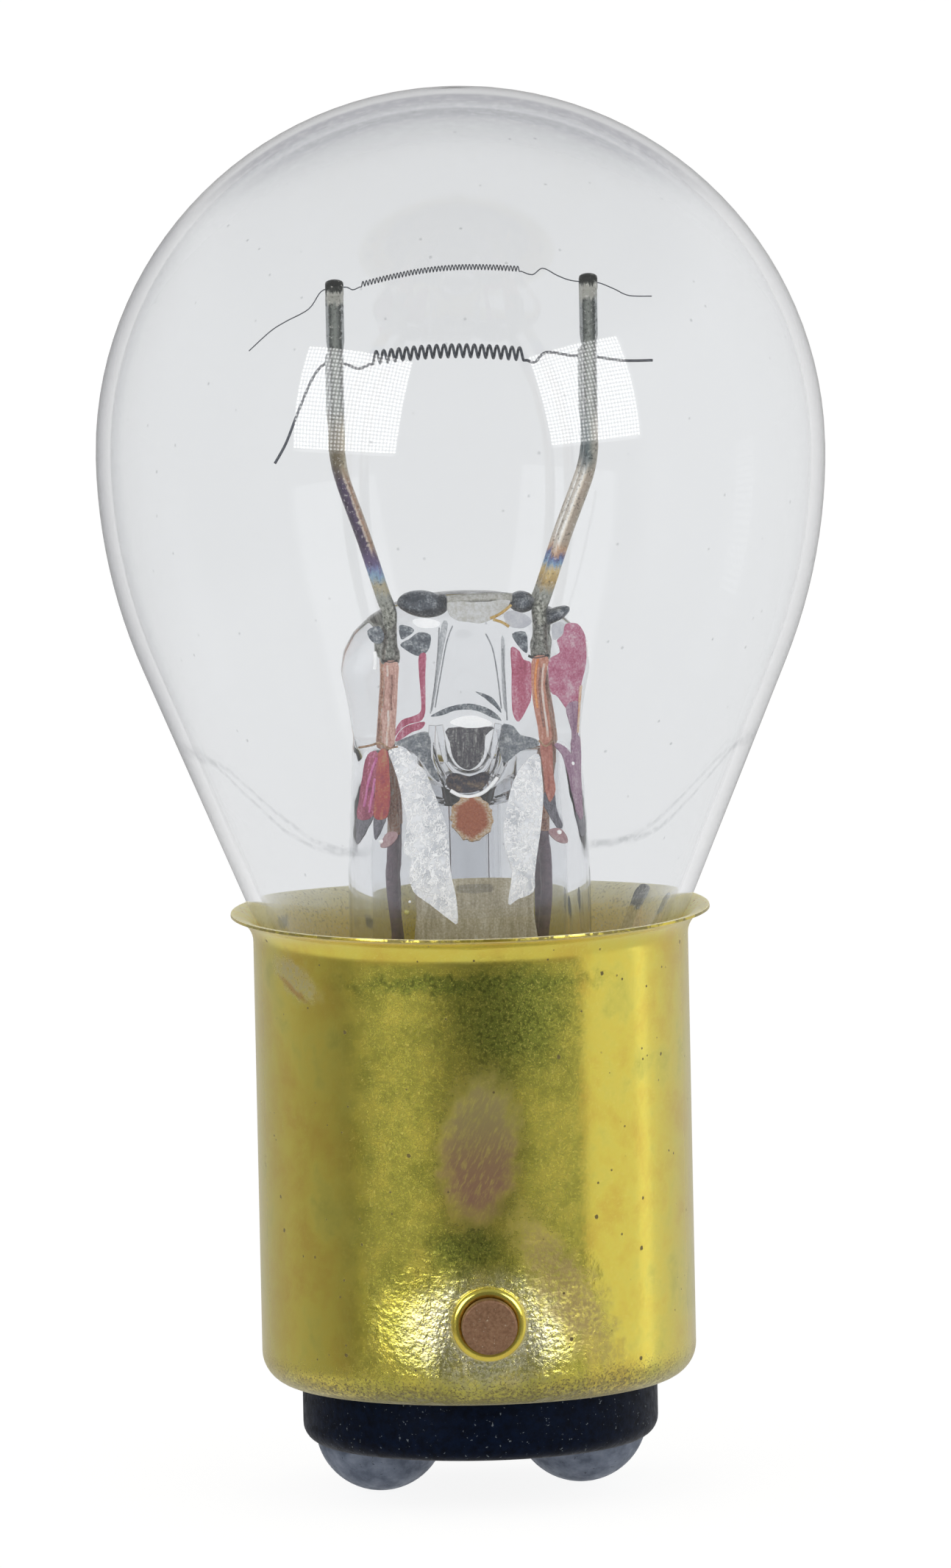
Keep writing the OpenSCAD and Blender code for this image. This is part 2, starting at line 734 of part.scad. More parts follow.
module insulator() {
    r = insulator_d / 2;
    in_r = shell_in_r - shell_play;
    knee_z = shell_bottom_z + shell_wall + shell_play;
    color([0.12, 0.13, 0.16])
        difference() {
            rotate_extrude($fn = fine)
                polygon(concat(
                    [[0, insulator_z]],
                    arc(r - insulator_edge_r, insulator_z + insulator_edge_r,
                        insulator_edge_r, insulator_edge_r, -90, 0, 6),
                    [
                        [r, knee_z],
                        [shell_r - corner_r, knee_z],
                        [in_r, shell_bottom_z + corner_r],
                        [in_r, insulator_top_z],
                        [0, insulator_top_z]
                    ]
                ));
            for (side = [-1, 1])
                at_contact(side)
                    translate([0, 0, insulator_z - cut])
                        cylinder(
                            r = eyelet_d / 2 + seal_play,
                            h = insulator_top_z - insulator_z + 2 * cut,
                            $fn = mid
                        );
        }
}

// A rivet eyelet through the insulator, its flange below and its clinched end on top
module eyelet() {
    bottom = insulator_z - eyelet_flange_t;
    color([0.7, 0.56, 0.3])
        difference() {
            union() {
                translate([0, 0, bottom])
                    cylinder(d = eyelet_flange_d, h = eyelet_flange_t, $fn = mid);
                translate([0, 0, bottom])
                    cylinder(d = eyelet_d, h = eyelet_top_z - bottom, $fn = mid);
                translate([0, 0, insulator_top_z])
                    cylinder(d = eyelet_d + 2 * clinch_w, h = eyelet_flange_t, $fn = mid);
            }
            translate([0, 0, bottom - cut])
                cylinder(d = eyelet_bore, h = eyelet_top_z - bottom + 2 * cut, $fn = mid);
        }
}

module eyelet_left() {
    at_contact(-1) eyelet();
}

module eyelet_right() {
    at_contact(1) eyelet();
}

// A solder dome over the eyelet's flange, with the lead's end in it
module solder_dome(h) {
    base_r = dome_d / 2;
    r = (base_r * base_r + h * h) / (2 * h);
    sweep = asin(base_r / r);
    flange_r = eyelet_flange_d / 2 + seal_play;
    flange_low = insulator_z - eyelet_flange_t - seal_play;
    lead_r = lead_d / 2 + seal_play;
    lead_low = insulator_z - eyelet_flange_t - lead_stub - seal_play;
    color([0.5, 0.54, 0.6])
        rotate_extrude($fn = fine)
            polygon(concat(
                [[0, insulator_z - h]],
                arc(0, insulator_z - h + r, r, r, -90 + sweep / 8, -90 + sweep, 7),
                [
                    [flange_r, insulator_z],
                    [flange_r, flange_low],
                    [lead_r, flange_low],
                    [lead_r, lead_low],
                    [0, lead_low]
                ]
            ));
}

module contact_left() {
    at_contact(-1) solder_dome(dome_left_h);
}

module contact_right() {
    at_contact(1) solder_dome(dome_right_h);
}

module basing_cement() {
    color([0.62, 0.55, 0.42])
        difference() {
            translate([0, 0, cement_z])
                cylinder(r = shell_in_r - shell_play, h = cement_h, $fn = fine);
            translate([0, 0, cement_z - cut])
                cylinder(r = neck_r + shell_play, h = cement_h + 2 * cut, $fn = fine);
            for (turn = [ground_turn, ground_small_turn])
                translate(around(ground_gap_r, turn, cement_z - cut))
                    cylinder(r = lead_d / 2 + seal_play, h = cement_h + 2 * cut, $fn = small);
        }
}

// The room inside the shell, up to the lip and straight up from there
module shell_room(low) {
    r = flare_r + shell_wall;
    edge = arc(shell_r + flare_r, flare_z, r, r, 180, 180 - flare_turn, 8);
    rotate_extrude($fn = fine)
        polygon(concat([[0, low], [shell_in_r, low]], edge, [edge[8] + [0, cut], [0, edge[8][1] + cut]]));
}

// Solder that fills the gap between glass and shell over a ground lead, with a blob at the lip
module rim_solder(turn, blob_r) {
    top = lip_z - shell_wall - blob_sink;
    color([0.5, 0.5, 0.46])
        rotate([0, 0, turn])
            difference() {
                intersection() {
                    union() {
                        translate([shell_in_r + blob_out, 0, top])
                            sphere(r = blob_r, $fn = small);
                        translate([ground_gap_r - neck_gap * 0.3, -blob_r * 0.8, ground_end_z])
                            cube([lip_r - ground_gap_r, 1.6 * blob_r, top - ground_end_z]);
                    }
                    shell_room(ground_end_z);
                }
                envelope_solid();
            }
}

module ground_solder() {
    rim_solder(ground_turn, ground_blob_r);
}

module ground_solder_small() {
    rim_solder(ground_small_turn, ground_small_blob_r);
}

envelope();
stem();
exhaust_tube();
getter_dab();
post(-1, front_y, front_top_z, minor_wire);  // post_front_left
post(1, front_y, front_top_z, minor_wire);  // post_front_right
post(-1, rear_y, rear_top_z, major_wire);  // post_rear_left
post(1, rear_y, rear_top_z, major_wire);  // post_rear_right
seal(-1, front_y);  // seal_front_left
seal(1, front_y);  // seal_front_right
seal(-1, rear_y);  // seal_rear_left
seal(1, rear_y);  // seal_rear_right
lead_contact(-1);  // lead_contact_left
lead_contact(1);  // lead_contact_right
lead_ground(-1, ground_turn);  // lead_ground_left
lead_ground(1, ground_small_turn);  // lead_ground_right
minor_filament();
major_filament();
base_shell();
pin_low();
pin_high();
insulator();
eyelet_left();
eyelet_right();
contact_left();
contact_right();
basing_cement();
ground_solder();
ground_solder_small();
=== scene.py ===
import math
import random

import bpy
from mathutils import Matrix, Vector


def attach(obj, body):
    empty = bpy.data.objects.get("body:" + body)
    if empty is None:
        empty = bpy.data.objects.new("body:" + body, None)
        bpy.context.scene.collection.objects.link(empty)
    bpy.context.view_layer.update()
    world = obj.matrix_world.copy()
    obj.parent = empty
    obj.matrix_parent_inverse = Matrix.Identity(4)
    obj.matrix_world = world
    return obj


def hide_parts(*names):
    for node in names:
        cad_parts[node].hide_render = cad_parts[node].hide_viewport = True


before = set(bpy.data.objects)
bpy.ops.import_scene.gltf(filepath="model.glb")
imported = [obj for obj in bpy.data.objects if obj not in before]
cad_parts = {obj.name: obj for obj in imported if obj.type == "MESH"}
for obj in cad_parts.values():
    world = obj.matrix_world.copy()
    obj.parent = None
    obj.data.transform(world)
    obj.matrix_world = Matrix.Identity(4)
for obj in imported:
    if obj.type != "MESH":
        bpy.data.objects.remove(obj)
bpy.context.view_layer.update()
mm = 0.001
random.seed(7)
scene = bpy.context.scene
scene.view_settings.view_transform = "Standard"


def clearSelection():
    bpy.ops.object.select_all(action="DESELECT")


def pickOnly(piece):
    clearSelection()
    piece.select_set(True)
    bpy.context.view_layer.objects.active = piece


def editAll(piece):
    pickOnly(piece)
    bpy.ops.object.mode_set(mode="EDIT")
    bpy.ops.mesh.select_all(action="SELECT")


def backToObject():
    bpy.ops.object.mode_set(mode="OBJECT")


def applyModifier(piece, kind, **settings):
    pickOnly(piece)
    modifier = piece.modifiers.new(kind.title(), kind)
    for key, value in settings.items():
        setattr(modifier, key, value)
    bpy.ops.object.modifier_apply(modifier=modifier.name)


def faceOutward():
    # ends a shape's edit with every face looking out
    bpy.ops.mesh.select_all(action="SELECT")
    bpy.ops.mesh.normals_make_consistent(inside=False)
    backToObject()


def closeHoles(piece):
    editAll(piece)
    bpy.ops.mesh.fill_holes(sides=0)
    faceOutward()


def drawOut(x, y, z):
    # extrudes what is selected by this many millimetres
    bpy.ops.mesh.extrude_region_move(TRANSFORM_OT_translate={"value": (x * mm, y * mm, z * mm)})


def shift(x, y, z):
    bpy.ops.transform.translate(value=(x * mm, y * mm, z * mm))


def turnBy(degrees, axis, centre=(0, 0, 0)):
    # in edit mode the operator takes the turn the other way round
    bpy.ops.transform.rotate(value=-math.radians(degrees), orient_axis=axis, center_override=centre)


def joined(pieces):
    clearSelection()
    for piece in pieces:
        piece.select_set(True)
    bpy.context.view_layer.objects.active = pieces[0]
    bpy.ops.object.join()
    return pieces[0]


def linear(hexText):
    # sRGB hex to the linear colour that the nodes want
    parts = [int(hexText[i:i + 2], 16) / 255 for i in (1, 3, 5)]
    return tuple(c / 12.92 if c <= 0.04045 else ((c + 0.055) / 1.055) ** 2.4 for c in parts) + (1.0,)


def addNode(tree, kind, inputs=None, stops=(), **settings):
    # adds one node; an input is a value, a hex colour or a (node, output) pair
    node = tree.nodes.new(kind)
    for key, value in settings.items():
        setattr(node, key, value)
    for key, value in (inputs or {}).items():
        if isinstance(value, tuple) and isinstance(value[0], bpy.types.Node):
            feed(tree, value, node, key)
        else:
            node.inputs[key].default_value = linear(value) if isinstance(value, str) else value
    if stops:
        elements = node.color_ramp.elements
        while len(elements) < len(stops):
            elements.new(1.0)
        for element, (place, colour) in zip(elements, stops):
            element.position = place
            element.color = linear(colour) if isinstance(colour, str) else (colour, colour, colour, 1.0)
    return node


def feed(tree, value, node, *names):
    for name in names:
        tree.links.new(value[0].outputs[value[1]], node.inputs[name])


def emptyTree(owner):
    owner.use_nodes = True
    owner.node_tree.nodes.clear()
    return owner.node_tree


def newFinish(name, **values):
    # a material with its shader and the Object coordinates that every pattern reads
    material = bpy.data.materials.new(name)
    tree = emptyTree(material)
    shader = addNode(tree, "ShaderNodeBsdfPrincipled", {key.replace("_", " "): value for key, value in values.items()})
    addNode(tree, "ShaderNodeOutputMaterial", {0: (shader, 0)})
    return material, tree, shader, (addNode(tree, "ShaderNodeTexCoord"), "Object")


def perMm(size):
    # noise scale for a pattern whose features are this many millimetres across
    return 1 / (size * mm)


def tuned(tree, kind, first, second=0.0, third=0.0):
    # one step of arithmetic on two or three values
    return (addNode(tree, "ShaderNodeMath", {0: first, 1: second, 2: third}, operation=kind), 0)


def times(tree, product, *values):
    for value in values:
        product = tuned(tree, "MULTIPLY", product, value)
    return product


def most(tree, largest, *values):
    for value in values:
        largest = tuned(tree, "MAXIMUM", largest, value)
    return largest


def timesPlus(tree, value, factor, added):
    return tuned(tree, "MULTIPLY_ADD", value, factor, added)


def minus(tree, first, second):
    return tuned(tree, "SUBTRACT", first, second)


def unsigned(tree, value):
    return tuned(tree, "ABSOLUTE", value)


def vectorStep(tree, kind, first, second=None):
    inputs = {0: first} if second is None else {0: first, "Scale" if kind == "SCALE" else 1: second}
    return (addNode(tree, "ShaderNodeVectorMath", inputs, operation=kind),
            "Value" if kind in ("DOT_PRODUCT", "LENGTH") else 0)


def axes(tree, coords):
    split = addNode(tree, "ShaderNodeSeparateXYZ", {0: coords})
    return [(split, i) for i in range(3)]


def ranged(tree, value, low, high, start=0.0, end=1.0, kind="SMOOTHSTEP"):
    # runs from start, where the value is low, to end, where it is high
    return (addNode(tree, "ShaderNodeMapRange", {"Value": value, "From Min": low, "From Max": high,
                                                 "To Min": start, "To Max": end}, interpolation_type=kind), 0)


def ramp(tree, value, stops):
    return (addNode(tree, "ShaderNodeValToRGB", {0: value}, stops), 0)


def between(tree, mask, first, second):
    # the first number, or the second where the mask is 1
    return (addNode(tree, "ShaderNodeMix", {0: mask, 2: first, 3: second}, data_type="FLOAT"), 0)


def layered(tree, colour, *layers):
    # colours laid one over another, each where its mask is 1
    for mask, tone in layers:
        colour = (addNode(tree, "ShaderNodeMix", {0: mask, 6: colour, 7: tone}, data_type="RGBA"), 2)
    return colour


def grainOf(tree, coords, size, detail=2.0, rough=0.5, stretch=None):
    # fractal noise with features of this many millimetres
    place = coords
    if stretch:
        turn, scale = stretch
        place = (addNode(tree, "ShaderNodeMapping", {"Vector": coords, "Rotation": [math.radians(t) for t in turn],
                                                     "Scale": scale}, vector_type="TEXTURE"), 0)
    return (addNode(tree, "ShaderNodeTexNoise", {"Vector": place, "Scale": perMm(size), "Detail": detail,
                                                 "Roughness": rough}), "Fac")


def cellsOf(tree, coords, size):
    # distance to the nearest of many scattered points, this many millimetres apart
    cells = addNode(tree, "ShaderNodeTexVoronoi", {"Vector": coords, "Scale": perMm(size), "Randomness": 1.0})
    return (cells, "Distance")


def dent(tree, shader, height, depth, strength=1.0):
    # raises the surface by this many millimetres where the height is 1
    bump = addNode(tree, "ShaderNodeBump", {"Height": height, "Strength": strength, "Distance": depth * mm})
    feed(tree, (bump, 0), shader, "Normal")


def wear(piece, material):
    piece.data.materials.clear()
    piece.data.materials.append(material)


def settle(piece, name, nodes, angle, finish=None):
    # last steps of every new piece: its finish, smooth shading, its body and what it stands for
    if finish:
        wear(piece, finish)
    piece.name = name
    piece.data.name = name
    pickOnly(piece)
    bpy.ops.object.transform_apply(location=True, rotation=True, scale=True)
    bpy.ops.object.shade_smooth_by_angle(angle=math.radians(angle))
    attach(piece, "root")
    if nodes:
        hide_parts(*nodes)


def ring(sides, radius, centre, fill="NOTHING"):
    # a circle in edit mode, ready to be drawn out; in millimetres
    clearSelection()
    bpy.ops.mesh.primitive_circle_add(
        vertices=sides, radius=radius * mm, location=[c * mm for c in centre], fill_type=fill)
    piece = bpy.context.object
    bpy.ops.object.transform_apply(location=True)
    editAll(piece)
    return piece


def turned(profile, sides, closed=False):
    # a circle drawn out ring by ring, as on a lathe; the profile is (radius, height) in millimetres
    radius, height = profile[0]
    piece = ring(sides, radius, (0, 0, height))
    for nextRadius, nextHeight in profile[1:]:
        drawOut(0, 0, nextHeight - height)
        if nextRadius < 0.001:
            bpy.ops.mesh.merge(type="CENTER")
            break
        size = nextRadius / radius
        if size != 1:
            bpy.ops.transform.resize(value=(size, size, 1), center_override=(0, 0, nextHeight * mm))
        radius, height = nextRadius, nextHeight
    if closed:
        bpy.ops.mesh.select_all(action="SELECT")
        bpy.ops.mesh.remove_doubles(threshold=0.0004 * mm)
    faceOutward()
    return piece


def arc(x, z, rx, rz, start, end, steps):
    # points of a profile along an ellipse, in degrees
    out = []
    for i in range(steps + 1):
        a = math.radians(start + (end - start) * i / steps)
        out.append((x + rx * math.cos(a), z + rz * math.sin(a)))
    return out


def smoothPath(points, steps):
    # the same curve through the points as the solids follow
    out = []
    for i in range(len(points) - 1):
        a, b, c, d = (points[max(i - 1, 0)], points[i], points[i + 1], points[min(i + 2, len(points) - 1)])
        for k in range(steps):
            u = k / steps
            out.append(tuple(
                b[j] + ((c[j] - a[j]) + ((2 * a[j] - 5 * b[j] + 4 * c[j] - d[j])
                        + (3 * b[j] - a[j] - 3 * c[j] + d[j]) * u) * u) * u / 2 for j in range(3)))
    out.append(tuple(points[-1]))
    return out


def drawnWire(points, thickness, corners=3):
    # a round wire along the points, in millimetres
    clearSelection()
    bpy.ops.curve.primitive_nurbs_path_add(location=(0, 0, 0))
    piece = bpy.context.object
    piece.data.splines.clear()
    line = piece.data.splines.new("POLY")
    line.points.add(len(points) - 1)
    for target, point in zip(line.points, points):
        target.co = (point[0] * mm, point[1] * mm, point[2] * mm, 1)
    piece.data.bevel_depth = thickness / 2 * mm
    piece.data.bevel_resolution = corners
    piece.data.use_fill_caps = True
    bpy.ops.object.convert(target="MESH")
    return bpy.context.object


def around(radius, turn, z):
    return (radius * math.cos(math.radians(turn)), radius * math.sin(math.radians(turn)), z)


camera = {
    "distance": 0.9,        # metres from the lamp's axis
    "elevation": 7.3,       # degrees above the lamp
    "azimuth": 2.6,         # the base was turned this much from the camera
    "roll": 1.2,            # the lamp leans left in the picture
    "aim": (0.28, 17.9),    # millimetres to the right of the axis, and height
    "lens": 593.0,
    "sensor": 36,
    "seen": (0.01, 20),     # metres, nearest and farthest
}


def placeCamera(c):
    a, e, r = (math.radians(c[k]) for k in ("azimuth", "elevation", "roll"))
    back = (-math.sin(a) * math.cos(e), -math.cos(a) * math.cos(e), math.sin(e))
    level = (math.cos(a), -math.sin(a), 0)
    upright = (math.sin(a) * math.sin(e), math.cos(a) * math.sin(e), math.cos(e))
    right = [math.cos(r) * x - math.sin(r) * y for x, y in zip(level, upright)]
    up = [math.cos(r) * y + math.sin(r) * x for x, y in zip(level, upright)]
    sideways, height = c["aim"]
    aim = [level[0] * sideways * mm, level[1] * sideways * mm, height * mm]
    bpy.ops.object.camera_add(location=[t + b * c["distance"] for t, b in zip(aim, back)])
    made = bpy.context.object
    made.name = "photographersCamera"
    made.rotation_euler = Matrix((right, up, back)).transposed().to_euler()
    made.data.lens = c["lens"]
    made.data.sensor_width = c["sensor"]
    made.data.clip_start, made.data.clip_end = c["seen"]
    scene.camera = made


placeCamera(camera)
print("camera placed")


studio = {
    "floorDrop": 6.9,        # millimetres under the low pin, just under the domes
    "floorColour": "#F6F6F5",
    "floorGlow": 0.8,        # share of the floor that shows as plain white paper
    "floorWhite": 1.12,
    "worldDiffuse": 0.62,
    "ceiling": 0.4,          # what metal and glass mirror from above
    "underneath": 0.66,      # and from below
    # heights on a sphere of radius 1 round the lamp: where the ceiling, the floor's mirror image and the dim part begin
    "ceilingFrom": (0.4, 0.75),
    "underneathFrom": (-0.25, -0.5),
    "dimFrom": (0.35, 0.8),
    "dimTo": 0.5,
    "lampAim": 0.018,        # metres above the base, where the softboxes point
    "dotEdge": (0.42, 0.26),   # in cells of a softbox's grid
    "betweenDots": 0.12,
}

# what stands round the lamp at its own height, as metal and glass mirror it:
# degrees to the right of the camera, and brightness
surroundings = [
    (-180, 0.42), (-150, 0.40), (-120, 0.42), (-92, 0.32), (-72, 0.26), (-58, 0.38), (-32, 0.36), (-20, 0.2),
    (2, 0.18), (14, 0.22), (30, 0.36), (54, 0.37), (61, 0.76), (104, 0.8), (118, 0.68), (150, 0.55), (180, 0.42),
]

# softboxes with a grid of small lamps: degrees right, degrees up (from the lens), width, height, dots across, strength
grids = [
    (-36, 15, 35, 30, 30, 9.0),
    (42.5, 16, 31, 29, 28, 9.0),
    (103, -10, 9, 22, 8, 0.5),
]


def makeFloor(s):
    clearSelection()
    bpy.ops.mesh.primitive_plane_add(size=5, location=(0, 0, -s["floorDrop"] * mm))
    floor = bpy.context.object
    floor.name = "paleFloor"
    bpy.ops.object.transform_apply(location=True)
    material = bpy.data.materials.new("matt pale paper")
    tree = emptyTree(material)
    paper = addNode(tree, "ShaderNodeBsdfDiffuse", {"Color": s["floorColour"]})
    glow = addNode(tree, "ShaderNodeEmission", {"Color": "#FFFFFF", "Strength": s["floorWhite"]})
    seen = addNode(tree, "ShaderNodeLightPath")
    share = times(tree, most(tree, (seen, "Is Camera Ray"), (seen, "Is Transmission Ray")), s["floorGlow"])
    mix = addNode(tree, "ShaderNodeMixShader", {0: share, 1: (paper, 0), 2: (glow, 0)})
    addNode(tree, "ShaderNodeOutputMaterial", {0: (mix, 0)})
    wear(floor, material)
    floor.visible_glossy = False


def lensDirection(right, up):
    # a direction in the room from degrees to the right of and above the line to the lens
    a, e = math.radians(right), math.radians(up)
    x, y, z = math.sin(a) * math.cos(e), -math.cos(a) * math.cos(e), math.sin(e)
    lift, turn = math.radians(camera["elevation"]), -math.radians(camera["azimuth"])
    y, z = y * math.cos(lift) + z * math.sin(lift), z * math.cos(lift) - y * math.sin(lift)
    return (x * math.cos(turn) - y * math.sin(turn), x * math.sin(turn) + y * math.cos(turn), z)


def withGrid(tree, where, room, right, up, width, height, count, strength):
    # adds one softbox with its grid of small lamps to the room's light
    centre = lensDirection(right, up)
    flat = math.hypot(centre[0], centre[1])
    side = (-centre[1] / flat, centre[0] / flat, 0)
    wide, high = (2 * math.tan(math.radians(angle / 2)) for angle in (width, height))
    toward = vectorStep(tree, "DOT_PRODUCT", where, centre)
    across = tuned(tree, "DIVIDE", vectorStep(tree, "DOT_PRODUCT", where, side), toward)
    upward = tuned(tree, "DIVIDE", vectorStep(tree, "DOT_PRODUCT", where, Vector(side).cross(Vector(centre))), toward)
    inside = times(tree, tuned(tree, "COMPARE", across, 0.0, wide / 2), tuned(tree, "COMPARE", upward, 0.0, high / 2),
                   tuned(tree, "GREATER_THAN", toward, 0.2))
    flatPlace = (addNode(tree, "ShaderNodeCombineXYZ", {0: across, 1: upward}), 0)
    cell = vectorStep(tree, "FRACTION", vectorStep(tree, "SCALE", flatPlace, count / wide))
    fromMiddle = vectorStep(tree, "LENGTH", vectorStep(tree, "SUBTRACT", cell, (0.5, 0.5, 0)))
    dot = ranged(tree, fromMiddle, *studio["dotEdge"], studio["betweenDots"], 1.0, "LINEAR")
    return timesPlus(tree, times(tree, inside, dot), strength, room)


def makeWorld(s):
    scene.world = bpy.data.worlds.new("studio")
    tree = emptyTree(scene.world)
    where = (addNode(tree, "ShaderNodeTexCoord"), "Generated")
    x, y, z = axes(tree, where)
    bearing = tuned(tree, "ARCTAN2", x, times(tree, y, -1.0))
    walls = ramp(tree, ranged(tree, bearing, -math.pi, math.pi, 0.0, 1.0, "LINEAR"),
                 [((turn + 180) / 360, level) for turn, level in surroundings])
    room = between(tree, ranged(tree, z, *s["ceilingFrom"]), walls, s["ceiling"])
    room = between(tree, ranged(tree, z, *s["underneathFrom"]), room, s["underneath"])
    for grid in grids:
        room = withGrid(tree, where, room, *grid)
    seen = addNode(tree, "ShaderNodeLightPath")
    mirrored = between(tree, (seen, "Is Glossy Ray"), s["worldDiffuse"], room)
    # what shines through the glass is white at eye level and dim high up
    dimmed = ranged(tree, z, *s["dimFrom"], 1.0, s["dimTo"])
    through = between(tree, (seen, "Is Transmission Ray"), mirrored, dimmed)
    strength = between(tree, (seen, "Is Camera Ray"), through, 1.0)
    light = addNode(tree, "ShaderNodeBackground", {"Color": "#FFFFFF", "Strength": strength})
    addNode(tree, "ShaderNodeOutputWorld", {0: (light, 0)})


lamps = [
    # name, degrees to the right of the camera, degrees up, metres away, width, height, strength
    ("leftSoftbox", -36, 15, 0.7, 0.43, 0.38, 0.8),
    ("rightSoftbox", 42.5, 16, 0.7, 0.39, 0.36, 0.8),
]


def makeLamps(rows):
    for name, azimuth, elevation, away, width, height, strength in rows:
        toward = lensDirection(azimuth, elevation)
        x, y, z = (t * away for t in toward)
        bpy.ops.object.light_add(type="AREA", location=(x, y, z + studio["lampAim"]))
        lamp = bpy.context.object
        lamp.name = name
        a, e = math.atan2(toward[0], -toward[1]), math.asin(toward[2])
        lamp.rotation_euler = (math.radians(90) - e, 0, a)
        lamp.data.shape = "RECTANGLE"
        lamp.data.size = width
        lamp.data.size_y = height
        # a lamp of this radiance looks as bright as its strength says
        lamp.data.energy = strength * math.pi * width * height


makeFloor(studio)
makeWorld(studio)
makeLamps(lamps)
print("floor, world and lamps made")


# where the globe's painted shade and its wavy line show, in metres
globeEdges = {
    "top": (0.0375, 0.0405), "left": (-0.0085, -0.0105), "wave": 0.0006,
    "lineDepth": (-0.0042, -0.0072), "lineHeight": (0.0196, 0.0167),
    "lineWidth": (0.00024, 0.00002), "lineFront": (0.0, -0.001), "lineMiddle": (0.0034, 0.0042),
}


def blownTone(tree, coords, facing, tone):
    # the globe's wall: painted shade in a dark line at the top and a dark edge at the left, and a faint wavy line low
    # down
    x, y, z = axes(tree, coords)
    e = globeEdges
    # painted shade: a dark arc inside the top rim and a darker left edge
    crown = ramp(tree, facing, [
        (0.45, "#F0F1F2"), (0.58, "#E2E3E5"), (0.65, "#D0D1D4"), (0.69, "#BCBDC2"), (0.725, "#94959D"),
        (0.76, "#84858E"), (0.785, "#92939B"), (0.81, "#ECEDEF"), (1.0, "#ECEDEF")])
    flank = ramp(tree, facing, [
        (0.5, "#F0F1F2"), (0.72, "#EAEBEC"), (0.78, "#DADBDE"), (0.85, "#BEC0C6"), (0.93, "#9698A0"), (1.0, "#8A8C95")])
    speckle = grainOf(tree, coords, 0.3, 4.0, 0.65)
    topRimShade = times(tree, ranged(tree, z, *e["top"]), ranged(tree, speckle, 0.36, 0.52, 0.7, 1.0))
    leftEdgeShade = ranged(tree, x, *e["left"])
    # the line sinks towards the front
    level = minus(tree, z, ranged(tree, y, *e["lineDepth"], *e["lineHeight"]))
    wave = minus(tree, grainOf(tree, coords, 1.6, 3.0, 0.6), 0.5)
    level = unsigned(tree, timesPlus(tree, wave, e["wave"], level))
    line = times(tree, ranged(tree, level, *e["lineWidth"]), ranged(tree, y, *e["lineFront"]),
                 ranged(tree, unsigned(tree, x), *e["lineMiddle"]), ranged(tree, speckle, 0.38, 0.6, 0.25, 0.75))
    return layered(tree, tone, (leftEdgeShade, flank), (topRimShade, crown), (line, "#BFC1C3"))


def clearGlass(name, tint, dustSize, dustAmount, blown=False, refraction=1.5):
    # soda-lime glass: perfectly smooth, a faint cold tint, painted shade where it curves away, and a little dust
    material, tree, shader, coords = newFinish(name, Transmission_Weight=1.0, IOR=refraction, Roughness=0.0)
    facing = (addNode(tree, "ShaderNodeLayerWeight", {"Blend": 0.5}), "Facing")
    # painted shade: the tint darkens towards the rim, where the glass turns away
    tone = ramp(tree, facing, [(0.0, tint[0]), (0.75, tint[0]), (0.93, tint[1]), (1.0, tint[2])])
    if blown:
        tone = blownTone(tree, coords, facing, tone)
    # dust grains of about 0.05 mm, some 1.5 mm apart
    grain = ranged(tree, cellsOf(tree, coords, dustSize), 0.02, 0.05, 1.0, 0.0, "LINEAR")
    feed(tree, layered(tree, tone, (times(tree, grain, dustAmount), "#8C8E92")), shader, "Base Color")
    # lamps shine through the glass on what it holds
    through = addNode(tree, "ShaderNodeBsdfTransparent", {"Color": tint[0]})
    path = addNode(tree, "ShaderNodeLightPath")
    mix = addNode(tree, "ShaderNodeMixShader", {0: (path, "Is Shadow Ray"), 1: (shader, 0), 2: (through, 0)})
    feed(tree, (mix, 0), tree.nodes["Material Output"], 0)
    return material


bulb = {
    "globeRadius": 12.69,
    "globeHeight": 29.6,
    "shoulderRadius": 19.4,
    "wall": 0.5,
    "cone": (7.683, 13.683),      # radius and height where the neck's cone meets the shoulder
    "coneFoot": (7.03, 12.55),    # and where it stands in the shell's lip
    "neckRadius": 6.3,
    "neckEnd": 6.0,
    "sides": 192,
}


def bulbLine(b, inset):
    # outline from the neck's end up over the shoulder to the pole, its glass let in by the inset
    globe, height = b["globeRadius"], b["globeHeight"]
    shoulderRadius, neckRadius = b["shoulderRadius"], b["neckRadius"]
    (coneX, coneZ), (footX, footZ) = b["cone"], b["coneFoot"]
    shoulderX = globe - shoulderRadius
    dx, dz = coneX - shoulderX, coneZ - height
    sweep = math.degrees(-math.atan2(dz, dx) - math.acos(shoulderRadius / math.hypot(dx, dz)))
    neckTop = footZ - (footX - neckRadius) * (coneZ - footZ) / (coneX - footX)
    neck = [(neckRadius - inset + out, z) for out, z in (
        (0, b["neckEnd"]), (0, neckTop - 0.5), (0.04, neckTop), (0.3, neckTop + 0.43))]
    cone = [(coneX - inset / math.cos(math.radians(sweep)), coneZ)]
    shoulder = arc(shoulderX, height, shoulderRadius - inset, shoulderRadius - inset, -sweep, 0, 12)
    dome = arc(0, height, globe - inset, globe - inset, 4, 88, 28)
    return neck + cone + shoulder + dome + [(0, height + globe - inset)]


def makeBulb(b):
    outer, inner = (turned(bulbLine(b, inset), b["sides"]) for inset in (0, b["wall"]))
    editAll(inner)
    bpy.ops.mesh.flip_normals()
    backToObject()
    piece = joined([outer, inner])
    # the two open rims at the neck's end are bridged into the rounded edge
    editAll(piece)
    bpy.ops.mesh.select_all(action="DESELECT")
    bpy.ops.mesh.select_mode(type="EDGE")
    bpy.ops.mesh.select_non_manifold()
    bpy.ops.mesh.bridge_edge_loops()
    bpy.ops.mesh.select_mode(type="VERT")
    backToObject()
    return piece


